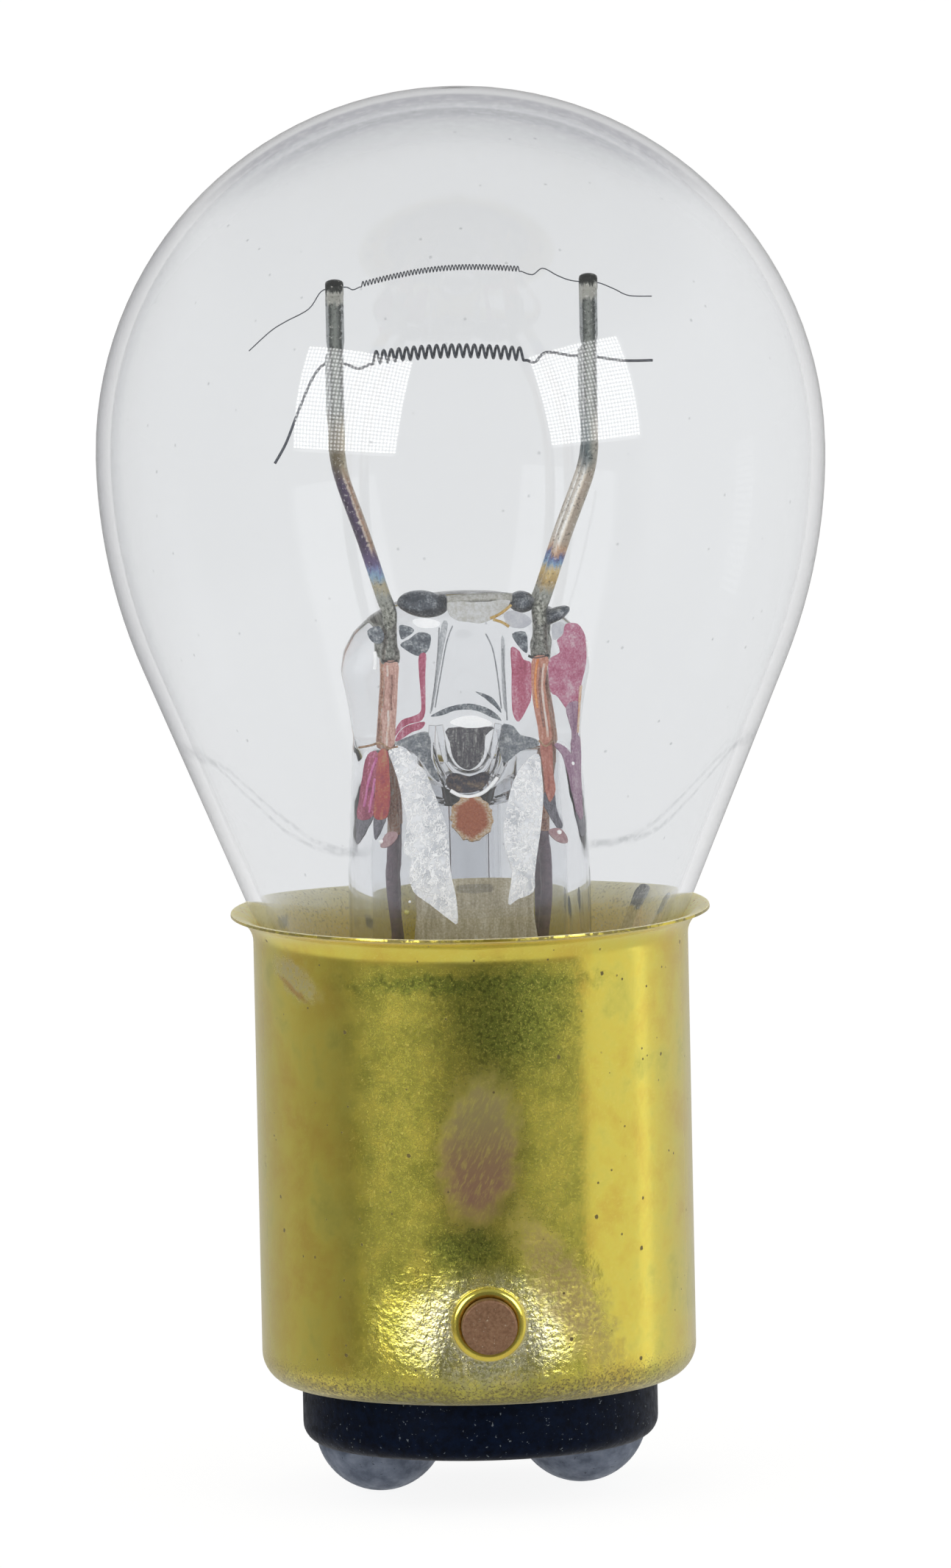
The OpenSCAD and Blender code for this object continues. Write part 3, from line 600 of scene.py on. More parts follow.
bulbGlass = clearGlass("blown clear glass", ("#F0F1F2", "#E4E5E8", "#D2D5DA"), 1.6, 0.6, blown=True)
settle(makeBulb(bulb), "blownEnvelope", ["envelope"], 60, bulbGlass)
print("envelope blown")


def patch(tree, coords, centre, radii, turn, edge, ragged):
    # a soft-edged worn place on the surface: 1 in its middle, 0 outside; sizes in millimetres
    noise = addNode(tree, "ShaderNodeTexNoise", {"Vector": coords, "Scale": perMm(0.5), "Detail": 4.0})
    wander = vectorStep(tree, "SCALE", vectorStep(tree, "SUBTRACT", (noise, "Color"), (0.5, 0.5, 0.5)), ragged * mm)
    local = addNode(tree, "ShaderNodeMapping",
                    {"Vector": vectorStep(tree, "ADD", coords, wander), "Location": [c * mm for c in centre],
                     "Rotation": [math.radians(t) for t in turn], "Scale": [r * mm for r in radii]},
                    vector_type="TEXTURE")
    return ranged(tree, vectorStep(tree, "LENGTH", (local, 0)), 1 - edge, 1 + edge, 1.0, 0.0)


# worn places of the brass: centre, radii, turn in degrees, softness of the edge and how ragged it is, in millimetres
wornPlaces = {
    "upperCloud": ((0.9, -7.5, 10.5), (1.9, 3, 1.7), (0, 0, 0), 0.6, 1.2),
    "lowerCloud": ((-0.7, -7.5, 2.6), (1.1, 3, 0.7), (0, 0, 0), 0.6, 1.2),
    "lipCloud": ((-0.4, -7.5, 11.85), (4.0, 3, 0.3), (0, 0, 0), 0.6, 1.2),
    "oval": ((-0.18, -7.5, 6.1), (1.35, 3, 2.55), (0, 6, 0), 0.36, 1.1),
    "tanFilm": ((2.75, -6.9, 1.0), (0.85, 3, 3.1), (0, -30, 0), 0.55, 1.6),
    "smear": ((-6.35, -4.2, 11.8), (0.5, 1.6, 1.05), (0, -50, 0), 0.5, 1.1),
    "smearLow": ((-6.38, -4.1, 11.4), (0.1, 1.6, 0.6), (0, -50, 0), 0.6, 0.4),
    # pale dust round the pin, partly a painted highlight
    "paleDustAndHighlight": ((0.0, -7.5, -0.3), (2.5, 3, 1.7), (0, 0, 0), 0.5, 0.8),
    "peel": ((0.0, -7.5, -0.4), (4.4, 3, 2.5), (0, 0, 0), 0.45, 1.0),
    "innerSmudge": ((-7.05, 2.7, 12.8), (0.45, 1.6, 0.2), (0, 0, 0), 0.3, 0.8),
}

# where the masks of the brass start and end, in metres
brassEdges = {
    "leftTarnish": (-0.0052, -0.0035), "rightTarnish": (0.0040, 0.0035), "front": (-0.003, -0.005),
    "lip": (0.0124, 0.0127), "collar": (-0.00768, -0.0076), "ovalTones": (0.0042, 0.0078),
    "lowDirt": (-0.0008, -0.0019), "corner": (-0.0014, -0.0022), "lipDirt": (0.01335, 0.01345),
    "besidePin": (0.0009, 0.002),
}


def shellBrass():
    # thin drawn brass, once lacquered: smooth and yellow where it is sound, olive and grainy where it has tarnished,
    # with matt brown films where it was rubbed, dust towards its edges and dirt specks along its corner
    material, tree, shader, coords = newFinish(
        "tarnished drawn brass", Metallic=1.0, Sheen_Weight=1.0, Sheen_Roughness=0.38, Sheen_Tint="#E9E2C4")
    x, y, z = axes(tree, coords)
    e, w = brassEdges, wornPlaces
    clouds = grainOf(tree, coords, 2.6, 4.0, 0.6)
    fine = grainOf(tree, coords, 0.14, 3.0, 0.6)
    grit = grainOf(tree, coords, 0.07, 2.0, 0.5)
    sound = ramp(tree, clouds, [(0.35, "#E2C656"), (0.5, "#E9D75E"), (0.65, "#E6DC6A")])
    # tarnish covers the front between two upright edges, and drifts over the rest in clouds
    ragged = timesPlus(tree, fine, 0.0007, x)
    front = times(tree, ranged(tree, ragged, *e["leftTarnish"]), ranged(tree, ragged, *e["rightTarnish"]),
                  ranged(tree, y, *e["front"]))
    drift = times(tree, ranged(tree, clouds, 0.52, 0.68), 0.6)
    belowLip = minus(tree, 1.0, ranged(tree, z, *e["lip"]))
    offCollar = ranged(tree, y, *e["collar"])
    tarnished = times(tree, most(tree, front, drift), belowLip, offCollar)
    olive = ramp(tree, grainOf(tree, coords, 1.1, 4.0, 0.65), [(0.36, "#B4AF4C"), (0.5, "#C8C055"), (0.62, "#D8CB5A")])
    colour = layered(tree, sound, (tarnished, olive))
    for place in ("upperCloud", "lowerCloud", "lipCloud"):
        cloud = patch(tree, coords, *w[place])
        mottled = times(tree, cloud, ranged(tree, fine, 0.5, 0.36, 0.0, 0.6))
        colour = layered(tree, colour, (times(tree, cloud, 0.75), "#8F9A45"), (mottled, "#5C6028"))
    brightGrains = times(tree, ranged(tree, grit, 0.58, 0.66), 0.45)
    # the rubbed oval: tan above, mauve brown below, in slanting streaks
    oval = patch(tree, coords, *w["oval"])
    streaks = grainOf(tree, coords, 0.11, 4.0, 0.65, ((0, 25, 0), (1, 1, 4)))
    ovalTone = ramp(tree, ranged(tree, z, *e["ovalTones"]), [(0.0, "#7E5A48"), (0.45, "#826648"), (1.0, "#8C7E4E")])
    ovalCover = times(tree, oval, ranged(tree, streaks, 0.3, 0.55, 0.66, 0.97))
    tanFilm = patch(tree, coords, *w["tanFilm"])
    tanCover = times(tree, tanFilm, ranged(tree, fine, 0.3, 0.6, 0.3, 0.85))
    smear = times(tree, patch(tree, coords, *w["smear"]), ranged(tree, fine, 0.35, 0.6, 0.35, 0.62))
    smearLow = times(tree, patch(tree, coords, *w["smearLow"]), 0.6)
    lowDirt = times(tree, ranged(tree, timesPlus(tree, clouds, 0.0016, z), *e["lowDirt"]),
                    ranged(tree, fine, 0.36, 0.6, 0.25, 0.9))
    # paler round the pin: pale dust, and a painted highlight that whitens the gleam there
    paleDustAndHighlight = times(tree, patch(tree, coords, *w["paleDustAndHighlight"]), offCollar,
                      ranged(tree, fine, 0.36, 0.6, 0.25, 0.75))
    # dark dirt specks, some 0.08 mm across, thick along the corner; larger blots; old flux in broken lines at the lip
    lone = times(tree, ranged(tree, cellsOf(tree, coords, 0.55), 0.1, 0.06),
                 ranged(tree, grainOf(tree, coords, 1.3, 1.0), 0.5, 0.54))
    corner = times(tree, ranged(tree, z, *e["corner"]), ranged(tree, grit, 0.56, 0.62), 0.75)
    blot = ranged(tree, timesPlus(tree, grit, 0.06, cellsOf(tree, coords, 1.25)), 0.1, 0.08)
    lipDirt = times(tree, ranged(tree, z, *e["lipDirt"]), ranged(tree, clouds, 0.46, 0.52),
                    ranged(tree, fine, 0.4, 0.5, 0.3, 0.9))
    specks = most(tree, lone, corner, blot, lipDirt)
    colour = layered(tree, colour, (brightGrains, "#F0E07A"), (paleDustAndHighlight, "#EEEAD2"), (lowDirt, "#7F7342"),
                     (tanCover, "#A08A55"), (ovalCover, ovalTone), (smear, "#A09E8C"), (smearLow, "#B27C34"),
                     (times(tree, specks, 0.85), "#4A3A1C"))
    feed(tree, colour, shader, "Base Color")
    # each film's colour reaches a little further than its dullness
    film = most(tree, times(tree, ovalCover, oval), times(tree, tanCover, tanFilm), smear, lowDirt, specks)
    feed(tree, timesPlus(tree, film, -0.9, 1.0), shader, "Metallic")
    # sound lacquer is smooth, tarnish rougher, films matt
    rough = timesPlus(tree, tarnished, 0.09, ranged(tree, fine, 0.3, 0.7, 0.15, 0.19))
    feed(tree, timesPlus(tree, film, 0.35, rough), shader, "Roughness")
    # riveting left an orange peel round the pin
    peelPlace = patch(tree, coords, *w["peel"])
    peel = times(tree, peelPlace, times(tree, grainOf(tree, coords, 0.24, 3.0, 0.6), 0.05))
    # and the wall beside it leans back a little, which catches the softboxes
    lean = times(tree, peelPlace, ranged(tree, unsigned(tree, x), *e["besidePin"]), times(tree, z, -90.0))
    peel = times(tree, tuned(tree, "ADD", peel, lean), offCollar)
    dent(tree, shader, timesPlus(tree, clouds, 0.02, timesPlus(tree, grit, 0.0009, peel)), 1.0)
    return material


def speckledFinish(name, dark, pale, grain, depth, rough, metallic, flecks=None, **values):
    # a matt surface with grains of the given size in two tones
    material, tree, shader, coords = newFinish(name, Metallic=metallic, **values)
    grains = grainOf(tree, coords, grain, 4.0, 0.65)
    colour = ramp(tree, grains, [(0.35, dark), (0.65, pale)])
    if flecks:
        # chips and dust of this colour, some tenths of a millimetre apart
        chips = ranged(tree, grainOf(tree, coords, flecks[1], 3.0, 0.6), 0.66, 0.7)
        colour = layered(tree, colour, (times(tree, chips, 0.8), flecks[0]))
    feed(tree, colour, shader, "Base Color")
    feed(tree, ranged(tree, grains, 0.3, 0.7, rough[1], rough[0], "LINEAR"), shader, "Roughness")
    dent(tree, shader, grains, depth, 0.6)
    return material


def filmFinish(name, tones, grain, stretch, rough, depth=0.0, **values):
    # a thin film with grains or streaks of the given size, in three or four tones from dark to pale
    material, tree, shader, coords = newFinish(name, Roughness=rough, **values)
    streaks = grainOf(tree, coords, grain, 4.0, 0.65, stretch)
    both = timesPlus(tree, grainOf(tree, coords, 0.07, 2.0, 0.6), 0.4, times(tree, streaks, 0.6))
    places = (0.38, 0.47, 0.54, 0.62) if len(tones) == 4 else (0.4, 0.5, 0.6)
    feed(tree, ramp(tree, both, list(zip(places, tones))), shader, "Base Color")
    if depth:
        dent(tree, shader, both, depth)
    return material


# where the posts' tones change, in metres
postEdges = {
    "root": (0.0246, 0.0242), "lower": (0.0259, 0.0266), "middle": (0.0286, 0.0294), "top": (0.0302, 0.0314),
    "pinch": (0.0348, 0.035), "cap": (0.03535, 0.0355), "lean": (0.0243, 0.0292), "bands": (0.0242, 0.003),
}


def postNickel(name, footX, topX, lower, middle, bands):
    # heated nickel strip: flattened grey top with painted shade along its rolled edges, brown and purple below the
    # bend, heat colours in bands low down, and pitted grey green in the glass; tones run across it from left to right,
    # painting highlights and shade
    material, tree, shader, coords = newFinish(name, Metallic=0.8)
    x, y, height = axes(tree, coords)
    e = postEdges
    grains = grainOf(tree, coords, 0.12, 4.0, 0.65)
    streaks = grainOf(tree, coords, 0.2, 3.0, 0.6, ((0, 0, 0), (0.5, 0.5, 3)))
    z = timesPlus(tree, streaks, 0.0008, minus(tree, height, 0.0004))
    centre = ranged(tree, height, *e["lean"], footX * mm, topX * mm, "LINEAR")
    across = timesPlus(tree, minus(tree, x, centre), 1600.0, 0.5)
    across = timesPlus(tree, minus(tree, grains, 0.5), 0.3, across)
    # painted highlights at the flattened top's edges and painted shade just inside them
    top = ramp(tree, across, [
        (0.0, "#B4B7B8"), (0.12, "#A6A9A9"), (0.2, "#3C403E"), (0.34, "#747973"), (0.5, "#8D918B"), (0.66, "#6E736E"),
        (0.8, "#333735"), (0.9, "#A9ACAC"), (1.0, "#BCBFC0")])
    foot, run = e["bands"]
    tint = ramp(tree, timesPlus(tree, z, 1 / run, -foot / run), bands)
    root = ramp(tree, grains, [(0.36, "#606258"), (0.5, "#96978C"), (0.64, "#C6C6BC")])
    # the folded cap: dark crest, pale pinch under it
    cap = ranged(tree, z, *e["cap"])
    pinch = times(tree, ranged(tree, z, *e["pinch"]), minus(tree, 1.0, cap), 0.7)
    colour = layered(
        tree, tint, (ranged(tree, z, *e["root"]), root), (ranged(tree, z, *e["lower"]), ramp(tree, across, lower)),
        (ranged(tree, z, *e["middle"]), ramp(tree, across, middle)), (ranged(tree, z, *e["top"]), top),
        (pinch, "#C6C4BA"), (cap, "#2C2E2A"), (times(tree, ranged(tree, grains, 0.43, 0.36), 0.6), "#2F2D2A"),
        (times(tree, ranged(tree, grains, 0.58, 0.66), 0.45), "#DAD7CF"))
    feed(tree, colour, shader, "Base Color")
    feed(tree, ranged(tree, grains, 0.3, 0.7, 0.45, 0.25), shader, "Roughness")
    dent(tree, shader, grains, 0.03)
    return material


def innerBrass():
    # the shell's inside, dulled by flux and cement dust: pale beige at the lip, deeper yellow lower down in the gap
    material, tree, shader, coords = newFinish(
        "dusty inner brass with painted glow", Metallic=0.4, Roughness=0.5, Specular_IOR_Level=0.15, Emission_Strength=0.17)
    x, y, z = axes(tree, coords)
    fine = grainOf(tree, coords, 0.12, 3.0, 0.6)
    level = timesPlus(tree, grainOf(tree, coords, 1.2, 4.0, 0.6), 0.0012, minus(tree, z, 0.0006))
    # from 12 mm up to the lip's edge, 2 mm higher
    tone = ramp(tree, timesPlus(tree, level, 500.0, -6.0), [
        (0.0, "#F4D250"), (0.25, "#FADC60"), (0.42, "#FBE27C"), (0.6, "#FCEFAC"), (0.8, "#FDF6D0"), (1.0, "#F8EA9C")])
    smudge = patch(tree, coords, *wornPlaces["innerSmudge"])
    colour = layered(
        tree, tone, (times(tree, ranged(tree, fine, 0.46, 0.36), 0.45), "#6E6038"),
        (times(tree, ranged(tree, fine, 0.56, 0.66), 0.4), "#DAD6B8"), (times(tree, smudge, 0.8), "#4A4838"))
    # painted glow: the colour glows a little, standing in for light that goes back and forth in the gap
    feed(tree, colour, shader, "Base Color", "Emission Color")
    dent(tree, shader, fine, 0.01)
    return material


def gapSolder():
    # solder at the lip: dark with burnt flux where it lies open, thin and brassy where it ran down into the gap
    material, tree, shader, coords = newFinish(
        "dark flux-stained solder with painted glow", Metallic=0.4, Roughness=0.5, Emission_Strength=0.12)
    grains = grainOf(tree, coords, 0.12, 4.0, 0.65)
    bare = ramp(tree, grains, [(0.36, "#2E302C"), (0.5, "#5E6158"), (0.6, "#7E8174"), (0.66, "#D0D0C8")])
    run = ramp(tree, grains, [(0.36, "#C8AC54"), (0.64, "#F0DC90")])
    level = timesPlus(tree, grainOf(tree, coords, 0.4), 0.0006, axes(tree, coords)[2])
    colour = layered(tree, bare, (ranged(tree, level, 0.0133, 0.0131), run))
    # painted glow: the solder's colour glows a little
    feed(tree, colour, shader, "Base Color", "Emission Color")
    dent(tree, shader, grains, 0.03)
    return material


brass = shellBrass()
dustyGlowingBrass = innerBrass()
pinCopper = speckledFinish("rubbed pin brass", "#7A5A42", "#9C785C", 0.12, 0.015, (0.45, 0.6), 0.6, ("#D8CBB0", 0.1))
blackGlass = speckledFinish("black vitreous insulator", "#050A17", "#0C172C", 0.3, 0.03, (0.3, 0.5), 0.0,
                            ("#7C848C", 0.16), Specular_IOR_Level=0.06)
domeSolder = speckledFinish("oxidised solder", "#636C7D", "#868FA0", 0.6, 0.03, (0.4, 0.6), 0.5, ("#3E4450", 0.22))
rimSolder = gapSolder()
# for both posts the lower and middle tones across the width paint highlight lines and shaded sides
leftNickel = postNickel(
    "heat-tinted left nickel", -2.63, -4.3,
    lower=[(0.0, "#5E5260"), (0.3, "#4C3D58"), (0.52, "#5A4A66"), (0.64, "#D6C6B8"), (0.74, "#A9866E"),
           (1.0, "#C2B6A8")],
    middle=[(0.0, "#7A7058"), (0.3, "#6A5F49"), (0.6, "#7C705A"), (0.8, "#B4A88E"), (1.0, "#C6C0B0")],
    bands=[(0.0, "#8F9088"), (0.16, "#A3A59C"), (0.28, "#B9AE8E"), (0.4, "#8FB0C8"), (0.48, "#7E86B0"),
           (0.56, "#6A5A80"), (1.0, "#584866")])
rightNickel = postNickel(
    "heat-tinted right nickel", 2.58, 4.5,
    lower=[(0.0, "#B3A79A"), (0.16, "#E8DFD2"), (0.28, "#FFFDF8"), (0.4, "#F0E4D2"), (0.5, "#B8A898"), (0.8, "#B0A494"),
           (1.0, "#C0B8AC")],
    middle=[(0.0, "#8A9090"), (0.2, "#5E6B6E"), (0.4, "#77807E"), (0.55, "#8E8E84"), (0.8, "#B2ACA0"),
            (1.0, "#BCB8B0")],
    bands=[(0.0, "#8F9088"), (0.16, "#A3A59C"), (0.3, "#C2A468"), (0.4, "#D8C08A"), (0.48, "#8FAFCC"),
           (0.56, "#6E78A8"), (0.64, "#C89A72"), (1.0, "#C4A888")])
copperClad = filmFinish("copper-clad wire in glass", ("#9C5A44", "#E09A78", "#F6BE9E", "#FFEEDD"), 0.14,
                        ((0, 0, 0), (0.7, 0.7, 5)), 0.3)
leadCopper = speckledFinish("darkened copper lead", "#6A5468", "#8E7080", 0.15, 0.01, (0.35, 0.5), 0.2)
tungsten = speckledFinish("drawn tungsten", "#3C3F46", "#6A6E76", 0.05, 0.002, (0.3, 0.4), 1.0)
eyeletBrass = speckledFinish("stamped eyelet brass", "#A98B4A", "#C9AD66", 0.2, 0.01, (0.3, 0.45), 1.0)
cementFinish = speckledFinish("baked basing cement", "#8F8062", "#B5A685", 0.25, 0.05, (0.8, 0.95), 0.0)
stemGlass = clearGlass("pressed stem glass", ("#F2F3F5", "#DCDEE2", "#B4B8BE"), 1.1, 0.7, refraction=1.38)
print("finishes mixed")


shell = {
    "radius": 7.58, "wall": 0.25, "bottom": -3.0, "cornerRadius": 1.15, "openRadius": 6.22,
    "flareHeight": 12.55, "flareRadius": 0.9, "flareTurn": 80, "sides": 192,
    "collarRadius": 1.3, "collarBore": 0.82, "collarTop": 7.88, "crest": 0.16, "pinIndex": 3.2,
}


def makeShell(s):
    r, w, c, f = s["radius"], s["wall"], s["cornerRadius"], s["flareRadius"]
    cornerX, cornerZ = r - c, s["bottom"] + c
    flareX = r + f
    # the flare thins towards its edge, which is rounded
    lipIn = []
    for i in range(11):
        turn = math.radians(180 - s["flareTurn"] * (1 - i / 10))
        out = f + w * (0.5 + 0.5 * i / 10)
        lipIn.append((flareX + out * math.cos(turn), s["flareHeight"] + out * math.sin(turn)))
    lipOut = arc(flareX, s["flareHeight"], f, f, 180, 180 - s["flareTurn"], 10)
    tip, back = lipOut[-1], lipIn[0]
    nose = ((tip[0] + back[0]) / 2 + w * 0.16, (tip[1] + back[1]) / 2)
    edge = [(tip[0] * 0.6 + nose[0] * 0.4 + 0.02, tip[1] * 0.7 + nose[1] * 0.3), nose,
            (back[0] * 0.6 + nose[0] * 0.4 + 0.02, back[1] * 0.7 + nose[1] * 0.3)]
    body = [(r, cornerZ + (s["flareHeight"] - cornerZ) * k / 16) for k in range(1, 16)]
    profile = ([(s["openRadius"], s["bottom"])] + arc(cornerX, cornerZ, c, c, -90, 0, 10) + body + lipOut + edge
               + lipIn + arc(cornerX, cornerZ, c - w, c - w, 0, -90, 6)
               + [(s["openRadius"], s["bottom"] + w), (s["openRadius"], s["bottom"])])
    piece = turned(profile, s["sides"], closed=True)
    # the dusty inner wall is a finish of its own
    piece.data.materials.append(brass)
    piece.data.materials.append(dustyGlowingBrass)
    for face in piece.data.polygons:
        outward = face.normal.x * face.center.x + face.normal.y * face.center.y
        inside = outward < 0 or face.normal.z > 0.3
        face.material_index = 1 if inside and face.center.z > s["bottom"] * mm * 0.5 else 0
    return piece


def pointOut(piece, high):
    # lays what was turned upright so that it points out of the shell, in front low and behind high
    editAll(piece)
    turnBy(-90 if high else 90, "X")
    if high:
        shift(0, 0, shell["pinIndex"])
    backToObject()
    return piece


def makeCollar(s, high):
    # the ring that the drawn wall stands up round a pin, with a rounded crest
    r, bore, wall, crest = s["collarRadius"], s["collarBore"], s["radius"], s["crest"]
    top = arc((r + bore + 0.06) / 2, s["collarTop"] - crest, (r - bore - 0.06) / 2, crest, 0, 180, 8)
    foot = [(bore, wall - 0.5), (r + 0.12, wall - 0.5), (r + 0.1, wall - 0.12), (r + 0.02, wall + 0.02)]
    return pointOut(turned(foot + top + foot[:1], 64, closed=True), high)


collars = [makeCollar(shell, False), makeCollar(shell, True)]
for collar in collars:
    wear(collar, brass)
settle(joined([makeShell(shell)] + collars), "drawnShell", ["base_shell"], 50)
print("shell drawn")


pin = {"radius": 0.97, "face": 8.4, "seat": 7.88, "shank": 0.8, "inside": 6.9, "edge": 0.09, "dish": 0.035}


def makePin(p, high):
    r, e, face = p["radius"], p["edge"], p["face"]
    profile = ([(0.3, p["inside"]), (p["shank"], p["inside"]), (p["shank"], p["seat"]), (r - e, p["seat"]),
                (r, p["seat"] + e), (r, face - e)] + arc(r - e, face - e, e, e, 30, 90, 3)
               + [(0.7, face - 0.01), (0.35, face - 0.03), (0, face - p["dish"])])
    piece = pointOut(turned(profile, 64), high)
    closeHoles(piece)
    return piece


for high, node, name in ((False, "pin_low", "lowPin"), (True, "pin_high", "highPin")):
    settle(makePin(pin, high), name, [node], 50, pinCopper)
print("pins riveted")


insulator = {
    "radius": 6.2, "bottom": -5.1, "edge": 0.7, "groove": -4.0, "grooveTop": -3.4, "seat": -2.73, "seatRadius": 6.43,
    "shoulder": -1.85, "top": -1.27, "inside": 7.3, "sides": 128,
}


def makeInsulator(n):
    r, e, bottom, inside = n["radius"], n["edge"], n["bottom"], n["inside"]
    profile = ([(0.4, bottom + 0.02), (2, bottom), (r - e - 0.6, bottom)] + arc(r - e, bottom + e, e, e, -80, 0, 8)
               + [(r, n["groove"]), (r, n["grooveTop"]), (r, n["seat"]), (n["seatRadius"], n["seat"]),
                  (inside, n["shoulder"]), (inside, n["top"]), (3, n["top"]), (0, n["top"])])
    piece = turned(profile, n["sides"])
    closeHoles(piece)
    return piece


settle(makeInsulator(insulator), "vitreousInsulator", ["insulator"], 45, blackGlass)

dome = {"radius": 2.225, "spacing": 7.0, "base": -5.1, "left": 1.77, "right": 1.65, "sunk": 0.02}


def makeDome(d, side, height):
    base, foot = d["radius"], d["base"] + d["sunk"]
    ball = (base * base + height * height) / (2 * height)
    sweep = math.degrees(math.asin(base / ball))
    cap = arc(0, d["base"] - height + ball, ball, ball, -90 + sweep, -90 + 3, 14)
    piece = turned([(0.25, foot), (base - 0.15, foot)] + cap + [(0, d["base"] - height)], 96)
    editAll(piece)
    shift(side * d["spacing"] / 2, 0, 0)
    backToObject()
    closeHoles(piece)
    return piece


for side, height, node, name in ((-1, dome["left"], "contact_left", "leftDome"),
                                 (1, dome["right"], "contact_right", "rightDome")):
    settle(makeDome(dome, side, height), name, [node], 60, domeSolder)
print("contacts soldered")


post = {
    "leftSeal": -2.63, "rightSeal": 2.58, "leftX": -4.3, "rightX": 4.5,
    "depth": 0.85, "weld": 22.3, "lean": 24.3, "bend": 29.2,
    "frontTop": 35.8, "rearTop": 33.1,
    "bar": 0.26, "knot": 0.35, "flatWide": 0.315, "flatThin": 0.14, "flatLength": 2.2, "tongue": 0.55,
    "play": 0.02, "corners": 20, "frontLeg": 0.04, "rearLeg": 0.1,
}


def sealX(side):
    return post["leftSeal"] if side < 0 else post["rightSeal"]


def makePost(p, side, y, top, wireThickness):
    inX, outX = sealX(side), p["leftX"] if side < 0 else p["rightX"]
    fold = (2 * p["flatThin"] + wireThickness) / 2 + p["play"]
    rise = p["bend"] - p["lean"]
    # the line of the wire with its half thickness: weld knot, lean, straight run and flattened top
    knot, bar = p["knot"], p["bar"]
    knots = [(inX, p["weld"] + up, half) for up, half in (
        (0, knot * 0.55), (0.08, knot * 0.9), (0.25, knot), (0.45, knot * 0.96), (0.62, bar * 1.06), (0.8, bar))]
    leaning = smoothPath([(inX + (outX - inX) * a, 0, p["lean"] + rise * b)
                          for a, b in ((0, -0.14), (0, -0.04), (0.12, 0.08), (0.5, 0.5), (0.9, 0.9), (1, 1.1))], 4)
    stick = knots + [(x, z, bar) for x, _, z in leaning]
    stick += [(outX, top - p["flatLength"] * k, bar) for k in (1.6, 1.2)]
    line = stick + [(outX, top - p["flatLength"] * k, None) for k in (1.08, 0.98, 0.6, 0.3)]
    piece = ring(p["corners"], line[0][2], (line[0][0], y, line[0][1]), "NGON")
    lean = 0.0
    wide = thin = line[0][2]
    for i in range(1, len(line)):
        x, z, half = line[i]
        px, pz, _ = line[i - 1]
        nx, nz, _ = line[min(i + 1, len(line) - 1)]
        heading = math.degrees(math.atan2(nx - px, nz - pz))
        drawOut(x - px, 0, z - pz)
        centre = (x * mm, y * mm, z * mm)
        if abs(heading - lean) > 0.01:
            turnBy(heading - lean, "Y", centre)
            lean = heading
        newWide, newThin = (half, half) if half else (p["flatWide"], p["flatThin"])
        if i == len(stick):
            newWide, newThin = (wide + p["flatWide"]) / 2, (thin + p["flatThin"]) / 2
        if abs(newWide - wide) > 1e-6 or abs(newThin - thin) > 1e-6:
            bpy.ops.transform.resize(value=(newWide / wide, newThin / thin, 1), center_override=centre)
            wide, thin = newWide, newThin
    # the flat top folds over the filament's leg towards the front and down, and ends in a straight tongue
    crest = top - p["flatThin"] - fold
    folded = [(y - fold + fold * math.cos(math.radians(a)), crest + fold * math.sin(math.radians(a)), a)
              for a in (0, 20, 45, 70, 90, 110, 135, 160, 180)]
    hereY, hereZ, turn = y, line[-1][1], 0.0
    for thereY, thereZ, heading in folded + [(y - 2 * fold, top - p["tongue"], 180)]:
        drawOut(0, thereY - hereY, thereZ - hereZ)
        if heading != turn:
            turnBy(heading - turn, "X", (outX * mm, thereY * mm, thereZ * mm))
        hereY, hereZ, turn = thereY, thereZ, heading
    faceOutward()
    return piece


for side, y, top, thickness, node, name in (
        (-1, -post["depth"], post["frontTop"], post["frontLeg"], "post_front_left", "frontLeftPost"),
        (1, -post["depth"], post["frontTop"], post["frontLeg"], "post_front_right", "frontRightPost"),
        (-1, post["depth"], post["rearTop"], post["rearLeg"], "post_rear_left", "rearLeftPost"),
        (1, post["depth"], post["rearTop"], post["rearLeg"], "post_rear_right", "rearRightPost")):
    settle(makePost(post, side, y, top, thickness), name, [node], 50,
           leftNickel if side < 0 else rightNickel)
print("posts bent")


leads = {
    "sealThickness": 0.45, "leadThickness": 0.4, "lowerWeld": 16.3, "neckEnd": 6.0, "insulatorTop": -1.27,
    "eyeletRun": 1.4, "end": -5.65, "underFlange": 4.3, "drop": 1.1, "gapRadius": 6.815, "gap": 1.03, "tube": 4.22,
    "cementLow": 6.6, "cementTop": 9.2, "groundEnd": 10.1, "largeTurn": 30, "smallTurn": 10,
}


def down(share):
    return leads["lowerWeld"] + (leads["neckEnd"] - leads["lowerWeld"]) * share


def sealPoints(side, y):
    # straight at the weld, drawn aside a little as the press was squeezed
    drift = -0.1 if side < 0 else 0.22
    low, run = leads["lowerWeld"], post["weld"] - leads["lowerWeld"]
    return [(sealX(side) + drift * math.sin(math.pi * k / 12) ** 2, y, low + run * (k / 12)) for k in range(13)]


def contactPoints(side):
    x, y = sealX(side), -post["depth"]
    out = side * dome["spacing"] / 2
    top, run = leads["insulatorTop"] + 0.25, leads["eyeletRun"]
    return [(x, y, leads["lowerWeld"])] + smoothPath([
        (x, y, leads["lowerWeld"] - 0.3), (x, y, down(0.19)), (x * 0.92, y * 0.8, down(0.49)),
        (x, y * 0.6, leads["neckEnd"]), (out * 1.02, y * 0.3, top + 2.4 * run), (out, 0, top + run),
        (out, 0, top - 0.4 * run), (out, 0, leads["end"])], 8)


